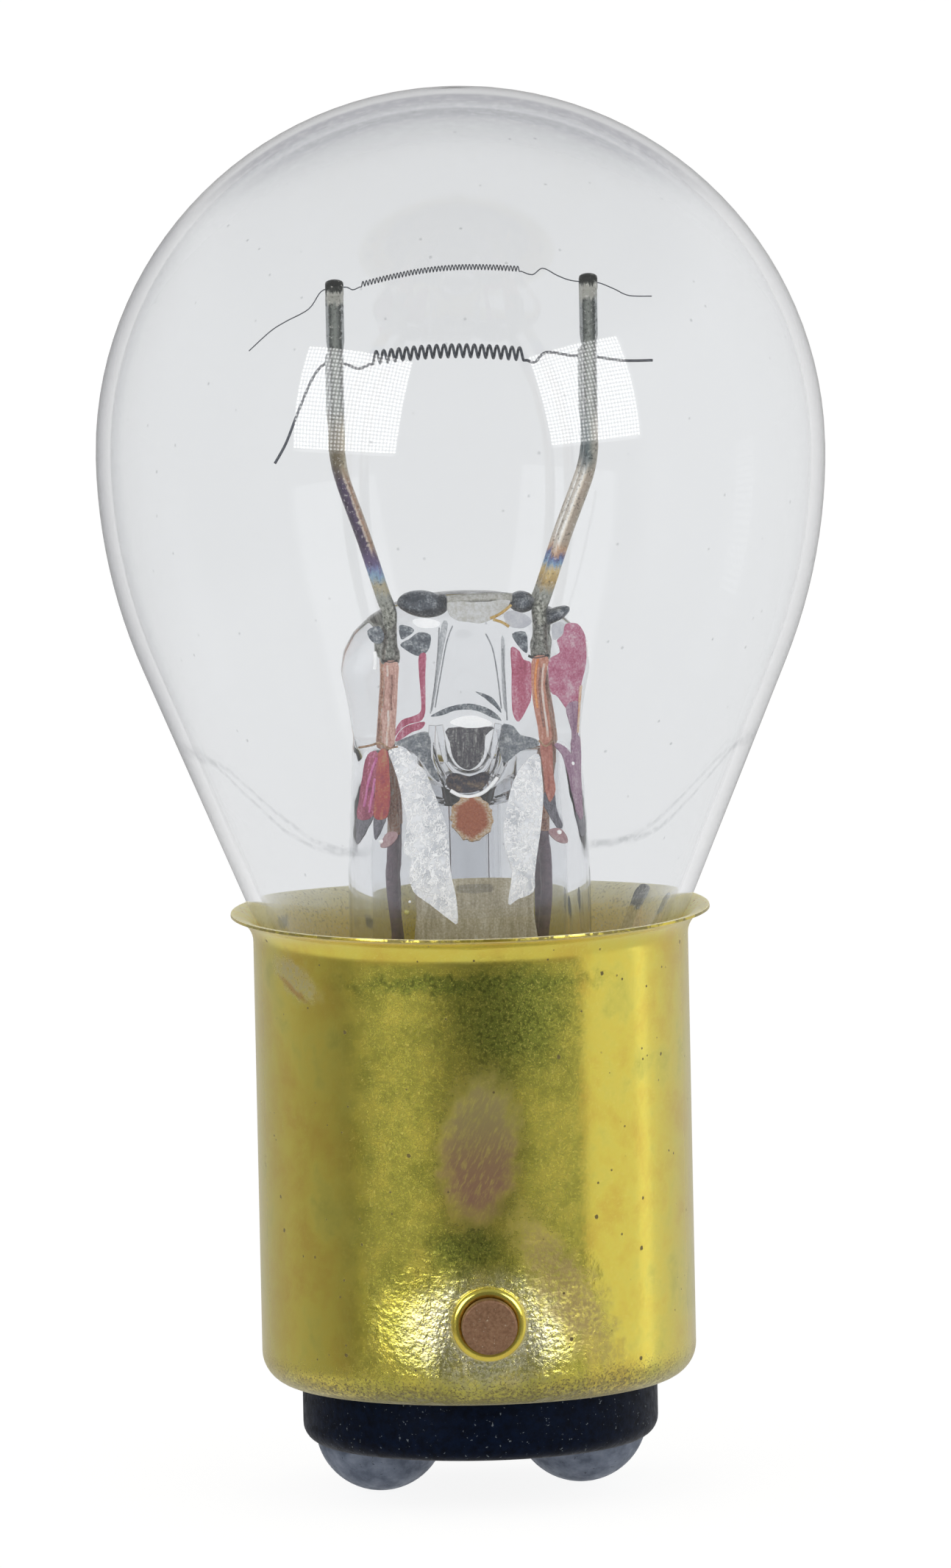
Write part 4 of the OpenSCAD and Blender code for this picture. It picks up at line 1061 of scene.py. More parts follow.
def groundPoints(side, turn):
    x, y = sealX(side), post["depth"]
    under, drop, gap = leads["underFlange"], leads["drop"], leads["gapRadius"]
    swing = turn + 35 if side < 0 else turn
    return [(x, y, leads["lowerWeld"])] + smoothPath([
        (x, y, leads["lowerWeld"] - 0.3), (x, y, down(0.19)), (x, y * 1.2, down(0.53)), (x, y * 1.4, down(0.9)),
        (x * 0.9, y * (3.4 if side < 0 else 1.7), under + 0.2 * drop),
        around(leads["tube"] + 0.55 * drop, swing, under - 0.36 * drop),
        around(gap - leads["gap"] / 4, (swing + 2 * turn) / 3, under),
        around(gap, turn, under + 0.8 * drop), around(gap, turn, leads["cementLow"]),
        around(gap, turn, leads["cementTop"]), around(gap, turn, leads["groundEnd"])], 8)


for side, y, node, name in ((-1, -post["depth"], "seal_front_left", "frontLeftSeal"),
                            (1, -post["depth"], "seal_front_right", "frontRightSeal"),
                            (-1, post["depth"], "seal_rear_left", "rearLeftSeal"),
                            (1, post["depth"], "seal_rear_right", "rearRightSeal")):
    settle(drawnWire(sealPoints(side, y), leads["sealThickness"], 5), name, [node], 50, copperClad)

for points, node, name in ((contactPoints(-1), "lead_contact_left", "leftContactLead"),
                           (contactPoints(1), "lead_contact_right", "rightContactLead"),
                           (groundPoints(-1, leads["largeTurn"]), "lead_ground_left", "leftGroundLead"),
                           (groundPoints(1, leads["smallTurn"]), "lead_ground_right", "rightGroundLead")):
    settle(drawnWire(points, leads["leadThickness"], 4), name, [node], 60, leadCopper)
print("leads run")


minor = {"turns": 46, "coil": 0.22, "wire": 0.04, "leftLeg": 0.94, "rightLeg": 2.37, "leftTail": 3.0, "rightTail": 2.2,
         "lift": 0.12, "rise": 0.4, "crown": 0.28}
major = {"turns": 20, "coil": 0.54, "wire": 0.1, "leftLeg": 1.34, "rightLeg": 2.2, "leftTail": 2.15, "rightTail": 2.3,
         "lift": 0.1, "rise": 0.0, "crown": 0.18}


def coilPoints(f, a, b):
    r = (f["coil"] - f["wire"]) / 2
    out = []
    steps = f["turns"] * 14
    for i in range(steps + 1):
        u = i / steps
        w = 2 * math.pi * f["turns"] * u
        out.append((a[0] + (b[0] - a[0]) * u, a[1] + (b[1] - a[1]) * u + r * math.sin(w),
                    a[2] + (b[2] - a[2]) * u + f["crown"] * math.sin(math.pi * u) - r * math.cos(w)))
    return out


def beside(side, foot, length, shares):
    return [(foot[0] + side * a * length, foot[1], foot[2] + b * length) for a, b in shares]


def filamentEnds(f, y, foldZ):
    left, right = (post["leftX"], y, foldZ), (post["rightX"], y, foldZ)
    a = (left[0] + f["leftLeg"], y, foldZ + f["lift"])
    b = (right[0] - f["rightLeg"], y, foldZ + f["lift"] + f["rise"])
    return left, right, a, b, (f["coil"] - f["wire"]) / 2


def minorPoints(f):
    fold = post["flatThin"] + f["wire"] / 2 + post["play"]
    y, z = -post["depth"] - fold, post["frontTop"] - post["flatThin"] - fold
    left, right, a, b, r = filamentEnds(f, y, z)
    start = smoothPath(
        beside(-1, left, f["leftTail"], [(1, -0.7), (0.75, -0.48), (0.57, -0.37), (0.3, -0.23), (0.15, -0.03), (0, 0)])
        + beside(-1, left, f["leftLeg"], [(-0.43, 0.04)])
        + [(a[0] - 0.32 * f["leftLeg"], y, a[2] - 2 * r), (a[0] - 0.06 * f["leftLeg"], y, a[2] - r)], 5)
    end = smoothPath(
        [(b[0] + 0.03 * f["rightLeg"], y, b[2] - r)]
        + beside(1, b, f["rightLeg"], [(0.19, -0.09), (0.34, 0), (0.55, -0.11)])
        + beside(-1, right, f["rightLeg"], [(0.25, 0.03)])
        + beside(1, right, f["rightTail"], [(0, 0), (0.18, -0.02), (0.41, -0.12), (0.64, -0.23), (1, -0.25)]), 5)
    return start + coilPoints(f, a, b) + end


def majorPoints(f):
    fold = post["flatThin"] + f["wire"] / 2 + post["play"]
    y, z = post["depth"] - fold, post["rearTop"] - post["flatThin"] - fold
    left, right, a, b, r = filamentEnds(f, y, z)
    start = smoothPath(
        beside(-1, left, f["leftTail"], [(1, -1.63), (0.81, -1.3), (0.6, -0.79), (0.37, -0.28), (0.19, -0.05), (0, 0)])
        + beside(-1, left, f["leftLeg"], [(-0.3, -0.07), (-0.63, -0.19)])
        + [(a[0] - 0.09 * f["leftLeg"], y, a[2] - r)], 5)
    end = smoothPath(
        [(b[0] + 0.055 * f["rightLeg"], y, b[2] - r)] + beside(1, b, f["rightLeg"], [(0.18, -0.13), (0.36, 0.02)])
        + beside(-1, right, f["rightLeg"], [(0.23, 0)])
        + beside(1, right, f["rightTail"], [(0, 0), (0.52, -0.09), (1, -0.1)]), 5)
    return start + coilPoints(f, a, b) + end


for f, points, node, name in ((minor, minorPoints(minor), "minor_filament", "minorFilament"),
                              (major, majorPoints(major), "major_filament", "majorFilament")):
    settle(drawnWire(points, f["wire"], 3), name, [node], 60, tungsten)
print("filaments wound")


stem = {
    "neckEnd": 6.0, "flange": 0.6, "flangeRise": 3.2, "flangeOut": 6.25,
    "tube": 4.22, "tubeWall": 0.8, "tubeLow": 12.0, "tubeTop": 15.0,
    "roof": 19.35, "roofWide": 3.3, "roofDeep": 1.15,
    "waist": 19.75, "waistInset": 0.39, "wide": 22.0, "top": 24.7, "halfWide": 4.345, "halfDeep": 1.45, "square": 3.6,
    "boss": 1.75, "bossLow": 17.3, "bossFoot": 18.6, "bossWaist": 19.95, "bossTop": 1.56,
    "bossCrown": 2.6, "crownRise": 1.2,
    "faceWide": 4.3, "faceSlope": 0.17, "faceTop": 2.75, "bossFace": 3.3, "bossTaper": 0.06,
    "exhaustBore": 0.65, "hole": 0.7, "holeHeight": 19.0, "voxel": 0.11, "corners": 96,
}


def power(value, exponent):
    return math.copysign(abs(value) ** exponent, value)


def lofted(rows, corners):
    # a ring drawn up and pressed flat step by step; rows of height, half width, half depth and squareness
    piece = ring(corners, 1 / mm, (0, 0, 0), "NGON")
    lastWide, lastDeep, lastSquare = 1.0, 1.0, 2.0
    for i, (z, wide, deep, square) in enumerate(rows):
        if i:
            drawOut(0, 0, 0.1)
        backToObject()
        for v in piece.data.vertices:
            if v.select:
                t = math.atan2(power(v.co.y / lastDeep, lastSquare / 2), power(v.co.x / lastWide, lastSquare / 2))
                v.co = (power(math.cos(t), 2 / square) * wide * mm, power(math.sin(t), 2 / square) * deep * mm, z * mm)
        lastWide, lastDeep, lastSquare = wide * mm, deep * mm, square
        bpy.ops.object.mode_set(mode="EDIT")
    faceOutward()
    return piece


def cutBy(piece, tool, operation):
    applyModifier(piece, "BOOLEAN", operation=operation, object=tool, solver="EXACT")
    bpy.data.objects.remove(tool)


def cylinderAt(radius, low, high):
    clearSelection()
    bpy.ops.mesh.primitive_cylinder_add(vertices=48, radius=radius * mm, depth=(high - low) * mm,
                                        location=(0, 0, (high + low) / 2 * mm))
    piece = bpy.context.object
    bpy.ops.object.transform_apply(location=True)
    return piece


def flangeRows(s, rise, wall):
    # the flange opens out in a quarter ellipse
    rows = []
    for a in range(80, -1, -10):
        r = s["flangeOut"] - (s["flangeOut"] - s["tube"] + wall) * math.cos(math.radians(a))
        rows.append((s["neckEnd"] + s["flangeRise"] - rise * math.sin(math.radians(a)), r, r, 2))
    return rows


def eased(u):
    return u * u * (3 - 2 * u) * 0.5 + u * 0.5


def makeStem(s):
    tube, wide, halfWide, halfDeep, square = (s[k] for k in ("tube", "wide", "halfWide", "halfDeep", "square"))
    outer = [(z, s["flangeOut"], s["flangeOut"], 2) for z in (s["neckEnd"] - s["flange"], s["neckEnd"])]
    outer += flangeRows(s, s["flangeRise"], 0)
    outer += [(s["tubeLow"], tube, tube, 2), (s["tubeTop"], tube, tube, 2)]
    for k in range(1, 9):
        u = k / 8
        outer.append((s["tubeTop"] + (s["waist"] - s["tubeTop"]) * u, tube + (halfWide - s["waistInset"] - tube) * u,
                      tube + (halfDeep - tube) * eased(u), 2 + (square - 2) * u))
    outer += [(s["waist"] + 1.1, halfWide - 0.24, halfDeep, square), (wide, halfWide, halfDeep, square)]
    for a in (15, 30, 45, 58, 70, 80, 87):
        c, n = math.cos(math.radians(a)), math.sin(math.radians(a))
        outer.append((wide + (s["top"] - wide) * n, halfWide * c ** 0.8, halfDeep * c ** 0.5, square - 1.2 * n))
    body = lofted(outer, s["corners"])
    crown = s["bossWaist"] + s["bossCrown"]
    boss = turned([(s["boss"], s["bossFoot"]), (s["boss"], s["bossWaist"])]
                  + arc(0, crown, s["bossTop"], s["crownRise"], 0, 80, 8) + [(0, crown + s["crownRise"])], 64)
    closeHoles(boss)
    cutBy(body, boss, "UNION")
    tubeIn = tube - s["tubeWall"]
    inner = [(s["neckEnd"] - s["flange"] - 0.5, s["flangeOut"] - 0.3, s["flangeOut"] - 0.3, 2)]
    inner += flangeRows(s, s["flangeRise"] + s["flange"], s["tubeWall"])
    inner += [(s["tubeLow"], tubeIn, tubeIn, 2), (s["tubeTop"], tubeIn, tubeIn, 2)]
    for k in range(1, 9):
        u = k / 8
        inner.append((s["tubeTop"] + (s["roof"] - s["tubeTop"]) * u, tubeIn + (s["roofWide"] - tubeIn) * u,
                      tubeIn + (s["roofDeep"] - tubeIn) * u, 2 + 1.2 * u))
    cutBy(body, lofted(inner, s["corners"]), "DIFFERENCE")
    cutBy(body, cylinderAt(s["boss"], s["bossLow"], s["roof"] + 0.5), "UNION")
    cutBy(body, cylinderAt(s["exhaustBore"], s["bossLow"] - 1, s["holeHeight"]), "DIFFERENCE")
    bore = cylinderAt(s["hole"], 0, 6)
    editAll(bore)
    turnBy(90, "X")
    shift(0, 0, s["holeHeight"])
    backToObject()
    cutBy(body, bore, "DIFFERENCE")
    applyModifier(body, "REMESH", mode="VOXEL", voxel_size=s["voxel"] * mm)
    applyModifier(body, "SMOOTH", factor=0.5, iterations=6)
    return body


settle(makeStem(stem), "pressedStem", ["stem"], 180, stemGlass)
print("stem pressed")


def stemFront(x, z):
    # how far forward the stem's surface stands at this place, in millimetres
    tube, waist, waistWide = stem["tube"], stem["waist"], stem["halfWide"] - stem["waistInset"]
    if z < stem["tubeTop"]:
        deep, wide, square = tube, tube, 2.0
    elif z < waist:
        u = (z - stem["tubeTop"]) / (waist - stem["tubeTop"])
        deep = tube + (stem["halfDeep"] - tube) * eased(u)
        wide, square = tube - (tube - waistWide) * u, 2 + (stem["square"] - 2) * u
    else:
        wide, square = min(stem["faceWide"], waistWide + (z - waist) * stem["faceSlope"]), stem["square"]
        deep = stem["halfDeep"]
        if z > stem["wide"]:
            deep *= max(0.05, 1 - ((z - stem["wide"]) / stem["faceTop"]) ** 2) ** 0.25
    y = deep * max(0.0, 1 - (abs(x) / wide) ** square) ** (1 / square)
    if stem["bossLow"] < z < stem["bossWaist"] + stem["bossFace"]:
        r = stem["boss"] - stem["bossTaper"] * max(0.0, z - stem["bossWaist"])
        if abs(x) < r:
            y = max(y, math.sqrt(r * r - x * x))
    return -y


# what shows in the stem's glass: outlines of films and patches on its front, right of the axis and height
inclusions = {
    # painted shade: dark speckled patches in the press
    "darkShadePatches": {
        "blockLeft": [(-2.27, 23.1), (-1.96, 23.26), (-1.65, 23.46), (-1.24, 23.36), (-1.3, 22.9),
            (-1.51, 22.7), (-1.77, 22.67), (-2.22, 22.95)],
        "blockLeftHigh": [(-2.31, 23.71), (-1.95, 23.66), (-1.8, 23.51), (-2.06, 23.31), (-2.27, 23.25)],
        "blockFarLeft": [(-3.41, 23.54), (-3.02, 23.7), (-2.83, 23.35), (-2.99, 23.09), (-3.29, 23.19)],
        "blockRight": [(1.6, 23.33), (2.06, 23.38), (2.13, 22.9), (2.07, 22.65), (1.77, 22.95)],
    },
    "shadedHollows": {
        "flankLeft": [(-2.57, 19.68), (-2.03, 19.92), (-1.51, 20.07), (-1.31, 19.87), (-1.28, 19.17),
            (-1.06, 18.41), (-1.34, 18.6), (-1.59, 18.98), (-1.89, 19.32), (-2.29, 19.56)],
        "flankRight": [(1.13, 20.18), (1.56, 20.18), (1.81, 19.87), (2.32, 19.71), (2.43, 19.46), (1.8, 19.32),
            (1.28, 18.96), (1.09, 19.17)],
    },
    "whiteGlints": {
        "glintLeft": [(-1.84, 23.89), (-1.43, 23.94), (-0.92, 23.81), (-0.98, 23.64), (-1.44, 23.6),
            (-1.74, 23.7)],
        "crescentWhite": [(-0.64, 20.4), (-0.22, 20.59), (0.29, 20.59), (0.85, 20.31), (0.54, 20.2),
            (0.02, 20.19), (-0.38, 20.26)],
    },
    # painted highlights: pale patches on the stem's front
    "palePaintedHighlights": {
        "paleRight": [(1.34, 24.01), (1.64, 24.11), (2.1, 23.96), (2.3, 23.71), (1.99, 23.51), (1.58, 23.56),
            (1.38, 23.76)],
        "paleFarRight": [(3.02, 23.6), (3.38, 23.64), (3.47, 23.38), (3.16, 23.09), (3.01, 23.14)],
    },
    "pinkSealFace": {
        "sealLeft": [(-2.87, 22.43), (-2.39, 22.44), (-2.41, 21.72), (-2.46, 20.94), (-2.51, 20.38), (-2.56, 19.7),
            (-2.78, 19.5), (-2.98, 19.65), (-2.98, 20.37), (-3.01, 20.68), (-2.9, 21.09), (-2.86, 21.71)],
    },
    "orangeSealFace": {
        "sealRight": [(2.3, 22.49), (2.83, 22.49), (2.77, 22.02), (2.71, 21.61), (2.74, 21.2), (2.8, 20.68),
            (2.87, 20.16), (2.88, 19.65), (2.51, 19.61), (2.41, 20.17), (2.32, 20.69), (2.25, 21.2), (2.23, 21.72)],
    },
    "redSealFace": {
        "sealRightLow": [(2.49, 19.55), (2.88, 19.55), (2.89, 18.67), (2.95, 17.99), (2.74, 17.61), (2.6, 17.95),
            (2.54, 18.68)],
    },
    "redFilms": {
        "stripLeft": [(-1.66, 22.65), (-1.41, 22.72), (-1.45, 22.03), (-1.46, 21.21), (-1.49, 20.69),
            (-1.66, 20.43), (-2.02, 20.35), (-2.33, 20.17), (-2.54, 19.91), (-2.51, 20.17), (-2.3, 20.48),
            (-1.91, 20.61), (-1.64, 20.77), (-1.62, 21.21), (-1.67, 22.03)],
        "strapLeft": [(-2.54, 19.76), (-2.38, 20.09), (-2.07, 20.3), (-1.51, 20.41), (-1.61, 20.18),
            (-1.97, 20.05), (-2.34, 19.81)],
        "wedgeRight": [(1.54, 22.85), (1.82, 22.75), (1.97, 22.44), (2.27, 22.23), (2.22, 21.2), (2.09, 20.84),
            (1.77, 20.33), (1.57, 20.59), (1.53, 21.21), (1.55, 22.03)],
    },
    "roseFilms": {
        "blobRight": [(3.48, 23.59), (3.89, 23.57), (4.14, 23.18), (4.18, 22.77), (4.17, 22.15), (3.99, 21.51),
            (3.94, 21.15), (3.91, 20.85), (3.72, 20.65), (3.47, 20.66), (3.17, 21.09), (2.89, 21.3),
            (2.83, 22.02), (2.89, 22.43), (3.25, 22.63), (3.16, 23.04), (3.37, 23.24)],
    },
    "crimsonFilms": {
        "fanLeft": [(-3.5, 19.28), (-3.14, 19.34), (-3.3, 18.16), (-3.37, 17.28), (-3.88, 17.1), (-3.81, 17.86),
            (-3.67, 18.67)],
    },
    "mauveFilms": {
        "mauveHigh": [(3.42, 20.77), (3.88, 20.9), (3.82, 20.13), (3.87, 19.19), (3.59, 19.22), (3.62, 19.88)],
        "mauveLow": [(3.6, 19.62), (3.91, 19.59), (3.89, 17.6), (3.93, 16.99), (3.75, 16.93), (3.58, 17.65),
            (3.42, 18.5), (3.23, 19.14), (2.98, 19.45), (3.11, 19.53), (3.44, 19.31), (3.56, 19.12)],
    },
    "pinkFilms": {
        "pinkLeft": [(-3.13, 16.42), (-2.92, 16.73), (-2.61, 16.77), (-2.61, 16.56), (-2.88, 16.29),
            (-3.13, 16.22)],
        "pinkRight": [(2.66, 16.72), (3.02, 16.72), (3.25, 16.48), (3.27, 16.2), (2.96, 16.28), (2.71, 16.5)],
    },
    "rustFilms": {
        "fanRed": [(-3.14, 19.34), (-2.8, 19.38), (-2.78, 18.19), (-2.81, 17.61), (-2.96, 17.21),
            (-3.34, 17.23), (-3.27, 18.16)],
    },
    "darkTips": {
        "mauveTip": [(3.65, 17.15), (3.9, 17.1), (4, 16.56), (3.86, 16.28), (3.74, 16.53)],
        "fanTip": [(-3.88, 17.18), (-3.37, 17.3), (-3.5, 16.97), (-3.9, 16.24), (-3.94, 16.68)],
        "fanRedTip": [(-3.31, 17.28), (-2.95, 17.26), (-3.12, 16.81), (-3.32, 16.47), (-3.38, 16.79)],
        "wireTipRight": [(2.54, 17.91), (2.89, 17.94), (2.94, 17.41), (3.13, 16.81), (2.97, 16.73),
            (2.72, 17.13), (2.53, 17.52)],
    },
    "archShadows": {
        "archDark": [(-1.3, 20.59), (-0.88, 20.82), (-0.47, 20.97), (0.04, 21.03), (0.55, 20.9), (0.96, 20.64),
            (1.16, 20.38), (0.85, 20.49), (0.45, 20.71), (0.04, 20.82), (-0.47, 20.79), (-0.89, 20.62)],
        "archDarkHigh": [(0.26, 21.4), (0.61, 21.29), (0.92, 21.1), (1.11, 20.85), (1.16, 20.64), (0.96, 20.85),
            (0.66, 21.11)],
    },
    # painted shade: grey shading down the boss's sides
    "bossFlankShading": {
        "flankShadeLeft": [(-0.84, 23.72), (-0.62, 23.72), (-0.8, 22.9), (-0.98, 22.0), (-1.15, 21.1), (-1.26, 20.75),
            (-1.17, 21.5), (-1.05, 22.4)],
        "flankShadeRight": [(1.22, 23.2), (1.34, 23.0), (1.3, 21.7), (1.36, 20.7), (1.24, 20.9), (1.2, 21.9)],
    },
    # painted shade: the dark inside of the hole
    "holeShade": {
        "holeDark": [(-0.69, 20.19), (0.84, 20.18), (0.58, 19.89), (0.52, 19.28), (0.31, 18.93), (-0.01, 18.76),
            (-0.31, 18.86), (-0.56, 19.17), (-0.65, 19.68)],
    },
    # painted shade: dark and brownish under the hole
    "pitShade": {
        "pitDark": [(-0.83, 18.5), (-0.52, 18.67), (-0.01, 18.55), (0.51, 18.69), (0.68, 18.48), (0.42, 18.15),
            (-0.02, 18.02), (-0.53, 18.06), (-0.79, 18.22)],
    },
    "hazyVeil": {
        "veil": [(-0.55, 24.5), (0.2, 24.42), (0.8, 24.42), (1.55, 24.5), (1.45, 24.2), (1.25, 24.0), (0.95, 23.85),
            (0.5, 23.72), (0.1, 23.78), (-0.3, 23.84), (-0.6, 24.1)],
    },
    "milkyTube": {
        "haze": [(-2.0, 15.1), (-1.4, 15.2), (-0.5, 15.26), (0.5, 15.26), (1.4, 15.2), (1.98, 15.1), (2.0, 14),
            (2.0, 12.4), (0, 12.2), (-1.95, 12.4), (-2.0, 14)],
    },
    "rippledWings": {
        "wingLeft": [(-2.76, 19.45), (-2.19, 19.51), (-1.84, 19.03), (-1.54, 18.74), (-1.3, 18.12),
            (-1.06, 17.46), (-0.87, 16.8), (-0.84, 15.84), (-0.8, 15.3), (-0.66, 14.6), (-0.63, 13.72),
            (-0.93, 13.87), (-1.54, 14.36), (-2.09, 14.79), (-2.21, 15.4), (-2.12, 15.9), (-2.37, 16.13),
            (-2.3, 16.77), (-2.24, 17.25), (-2.38, 17.82), (-2.52, 18.53), (-2.66, 19.01)],
        "wingRight": [(2.41, 19.21), (2.48, 18.68), (2.51, 17.81), (2.36, 16.76), (2.19, 15.99), (2.07, 15.3),
            (2.01, 14.69), (1.44, 14.47), (1.13, 14.33), (1.28, 15.34), (1.21, 15.74), (1.07, 16.32),
            (1.08, 16.98), (1.31, 17.83), (1.52, 18.4), (1.95, 18.98)],
    },
}

# and the fine lines
threads = {
    "meltedRims": {
        "uInner": [(-1, 20.28), (-0.9, 19.57), (-0.77, 19.13), (-0.47, 18.74), (-0.01, 18.61), (0.43, 18.76),
            (0.72, 19.17), (0.91, 19.67), (1.05, 20.28)],
        "uOuter": [(-1.24, 20.28), (-1.27, 19.57), (-1.17, 19.03), (-0.93, 18.55), (-0.81, 18.24)],
        "uOuterR": [(1.11, 20.07), (1.1, 19.42), (0.97, 18.88), (0.76, 18.55)],
    },
    # painted highlights: bright lines on the stem
    "paintedGlintLines": {
        "arc": [(-0.69, 18.1), (-0.38, 17.94), (-0.02, 17.89), (0.39, 18), (0.7, 18.22), (0.94, 18.48)],
        "glintEdgeR": [(4.2, 22.93), (4.25, 22.67), (4.25, 22.36)],
        "glintEdgeL": [(-3.19, 22.83), (-3.16, 22.58), (-3.2, 22.22)],
    },
    "sealHighlights": {
        "leftLow": [(-2.77, 20.84), (-2.76, 20.37), (-2.81, 19.96), (-2.83, 19.6)],
        "leftHigh": [(-2.76, 22.36), (-2.75, 22.12), (-2.77, 21.97)],
        "right": [(2.69, 22.28), (2.62, 21.82), (2.6, 21.41), (2.65, 20.79), (2.73, 20.17), (2.76, 19.75)],
    },
    # painted shade: dark lines along the seal wires
    "sealShadows": {
        "left": [(-2.62, 22.02), (-2.62, 21.61), (-2.66, 21.2), (-2.64, 20.84)],
        "right": [(2.57, 22.13), (2.52, 21.72), (2.51, 21.3), (2.56, 20.68), (2.63, 20.12)],
    },
    "orangeGleam": {
        "right": [(2.48, 22.44), (2.39, 22.03), (2.36, 21.41), (2.42, 20.79)],
    },
    # painted shade: fine grey lines down the boss's sides
    "bossShadeLines": {
        "bossL1": [(-0.93, 23.61), (-0.99, 22.85), (-1.12, 21.72), (-1.3, 20.69)],
        "bossL2": [(-0.46, 23.66), (-0.68, 23.11), (-0.91, 22.03), (-1.13, 20.9)],
        "bossR1": [(0.68, 23.36), (0.9, 22.85), (1.04, 22.03), (1.17, 20.8)],
        "bossR2": [(1.26, 22.85), (1.31, 21.72), (1.36, 20.38)],
    },
    # painted highlight: a bright line down a copper wire
    "copperHighlightLines": {
        "copperHighlight": [(3.97, 21.43), (3.91, 20.9), (3.83, 19.82)],
    },
    "meniscusRings": {
        "ringLeft": [(-3.78, 19.51), (-3.37, 19.61), (-3.06, 19.69), (-2.73, 19.5), (-2.45, 19.58)],
        "ringRight": [(2.45, 19.66), (2.67, 19.45), (2.93, 19.62)],
    },
    "pinkLines": {
        "fanLine1": [(-3.2, 19.19), (-3.47, 18.49), (-3.67, 17.54)],
        "fanLine2": [(-3.28, 18.5), (-3.43, 17.76), (-3.51, 17.36)],
    },
    "amberStreaks": {
        "upper": [(0.85, 23.88), (1.2, 24.02), (1.6, 24.3)],
        "lower": [(0.95, 23.84), (1.25, 23.74), (1.5, 23.58)],
    },
    "blackRings": {
        "left": [(-2.9, 22.5), (-2.65, 22.46), (-2.4, 22.5)],
        "right": [(2.14, 22.56), (2.34, 22.48), (2.6, 22.5), (2.88, 22.55)],
    },
    "ridge": {
        "top": [(-0.62, 24.52), (0, 24.55), (0.6, 24.56), (1.2, 24.56), (1.65, 24.53)],
    },
}


def closedCurve(points, steps):
    loop = points[-1:] + points + points[:2]
    out = []
    for i in range(1, len(points) + 1):
        out += smoothPath([q + (0,) for q in loop[i - 1:i + 3]], steps)[steps:2 * steps]
    return out


def makeInclusion(outline, sink, thick):
    # a thin patch drawn to its outline, subdivided, and laid along the stem's front
    edge = closedCurve(outline, 3)
    clearSelection()
    bpy.ops.mesh.primitive_circle_add(vertices=len(edge), radius=mm, location=(0, 0, 0), fill_type="NGON")
    piece = bpy.context.object
    for v, (x, z, _) in zip(piece.data.vertices, edge):
        v.co = (x * mm, z * mm, 0)
    editAll(piece)
    bpy.ops.mesh.quads_convert_to_tris(ngon_method="BEAUTY")
    bpy.ops.mesh.subdivide(number_cuts=2)
    backToObject()
    for v in piece.data.vertices:
        x, z = v.co.x / mm, v.co.y / mm
        v.co = (v.co.x, (stemFront(x, z) + sink) * mm, v.co.y)
    applyModifier(piece, "SOLIDIFY", thickness=thick * mm, offset=0)
    editAll(piece)
    faceOutward()
    return piece


def wrinkledFinish():
    # the inside of the tube where hot glass was drawn: silvery grey crossed by white creases
    material, tree, shader, coords = newFinish("silvery wrinkled glass with painted glow", Roughness=0.3, Emission_Strength=0.36)
    swirl = grainOf(tree, coords, 0.25, 3.0, 0.6, ((0, 35, 0), (1, 1, 2.2)))
    cross = grainOf(tree, coords, 0.22, 3.0, 0.6, ((0, -20, 0), (1, 1, 1.8)))
    creases = most(tree, ranged(tree, unsigned(tree, minus(tree, swirl, 0.49)), 0.05, 0.015),
                   ranged(tree, unsigned(tree, minus(tree, cross, 0.53)), 0.045, 0.015))
    ground = ramp(tree, grainOf(tree, coords, 0.8, 3.0, 0.6), [(0.38, "#C2C5CA"), (0.48, "#D6D8DC"), (0.58, "#ECEDEF")])
    # painted glow: the colour glows, the white creases most, standing in for the bright room seen through them
    feed(tree, layered(tree, ground, (times(tree, creases, 0.9), "#FFFFFF")), shader, "Base Color", "Emission Color")
    dent(tree, shader, creases, 0.04)
    return material


upright = ((0, 0, 0), (0.45, 1, 3))
loose = ((0, 0, 0), (1, 1, 1))
sealPink = filmFinish("pink copper seal", ("#BC8678", "#D6A496", "#E8B9AB", "#F6D6CA"), 0.16, upright, 0.3)
sealOrange = filmFinish("orange copper seal", ("#B8705A", "#D08A72", "#DC9C86", "#EABBA8"), 0.16, upright, 0.3)
sealRed = filmFinish("red copper seal", ("#A85A50", "#C0705F", "#CC8272", "#DDA090"), 0.2, upright, 0.3)
sealShine = filmFinish("pale copper gleam", ("#F6CDB8", "#FBE3D6", "#FFF6F0"), 0.2, upright, 0.2)
sealDark = filmFinish("brown painted seal shade", ("#7A5046", "#A87A6C", "#D0A090"), 0.1, loose, 0.4)
gleam = filmFinish("orange gleam", ("#F08A3A", "#FFA860", "#FFC890"), 0.2, upright, 0.2)
darkSpeckledShade = filmFinish("dark speckled painted shade", ("#3A424E", "#5F6872", "#848B92", "#C4C8CA"), 0.3, loose, 0.25, 0.02)
holeShadeFinish = filmFinish("streaked painted shade", ("#2E2A36", "#4B4850", "#67676B", "#A9A8A4"), 0.25, upright, 0.2)
pitShadeFinish = filmFinish("brownish painted shade", ("#262434", "#3A3644", "#5A4E4A", "#8A7560"), 0.3, loose, 0.2)
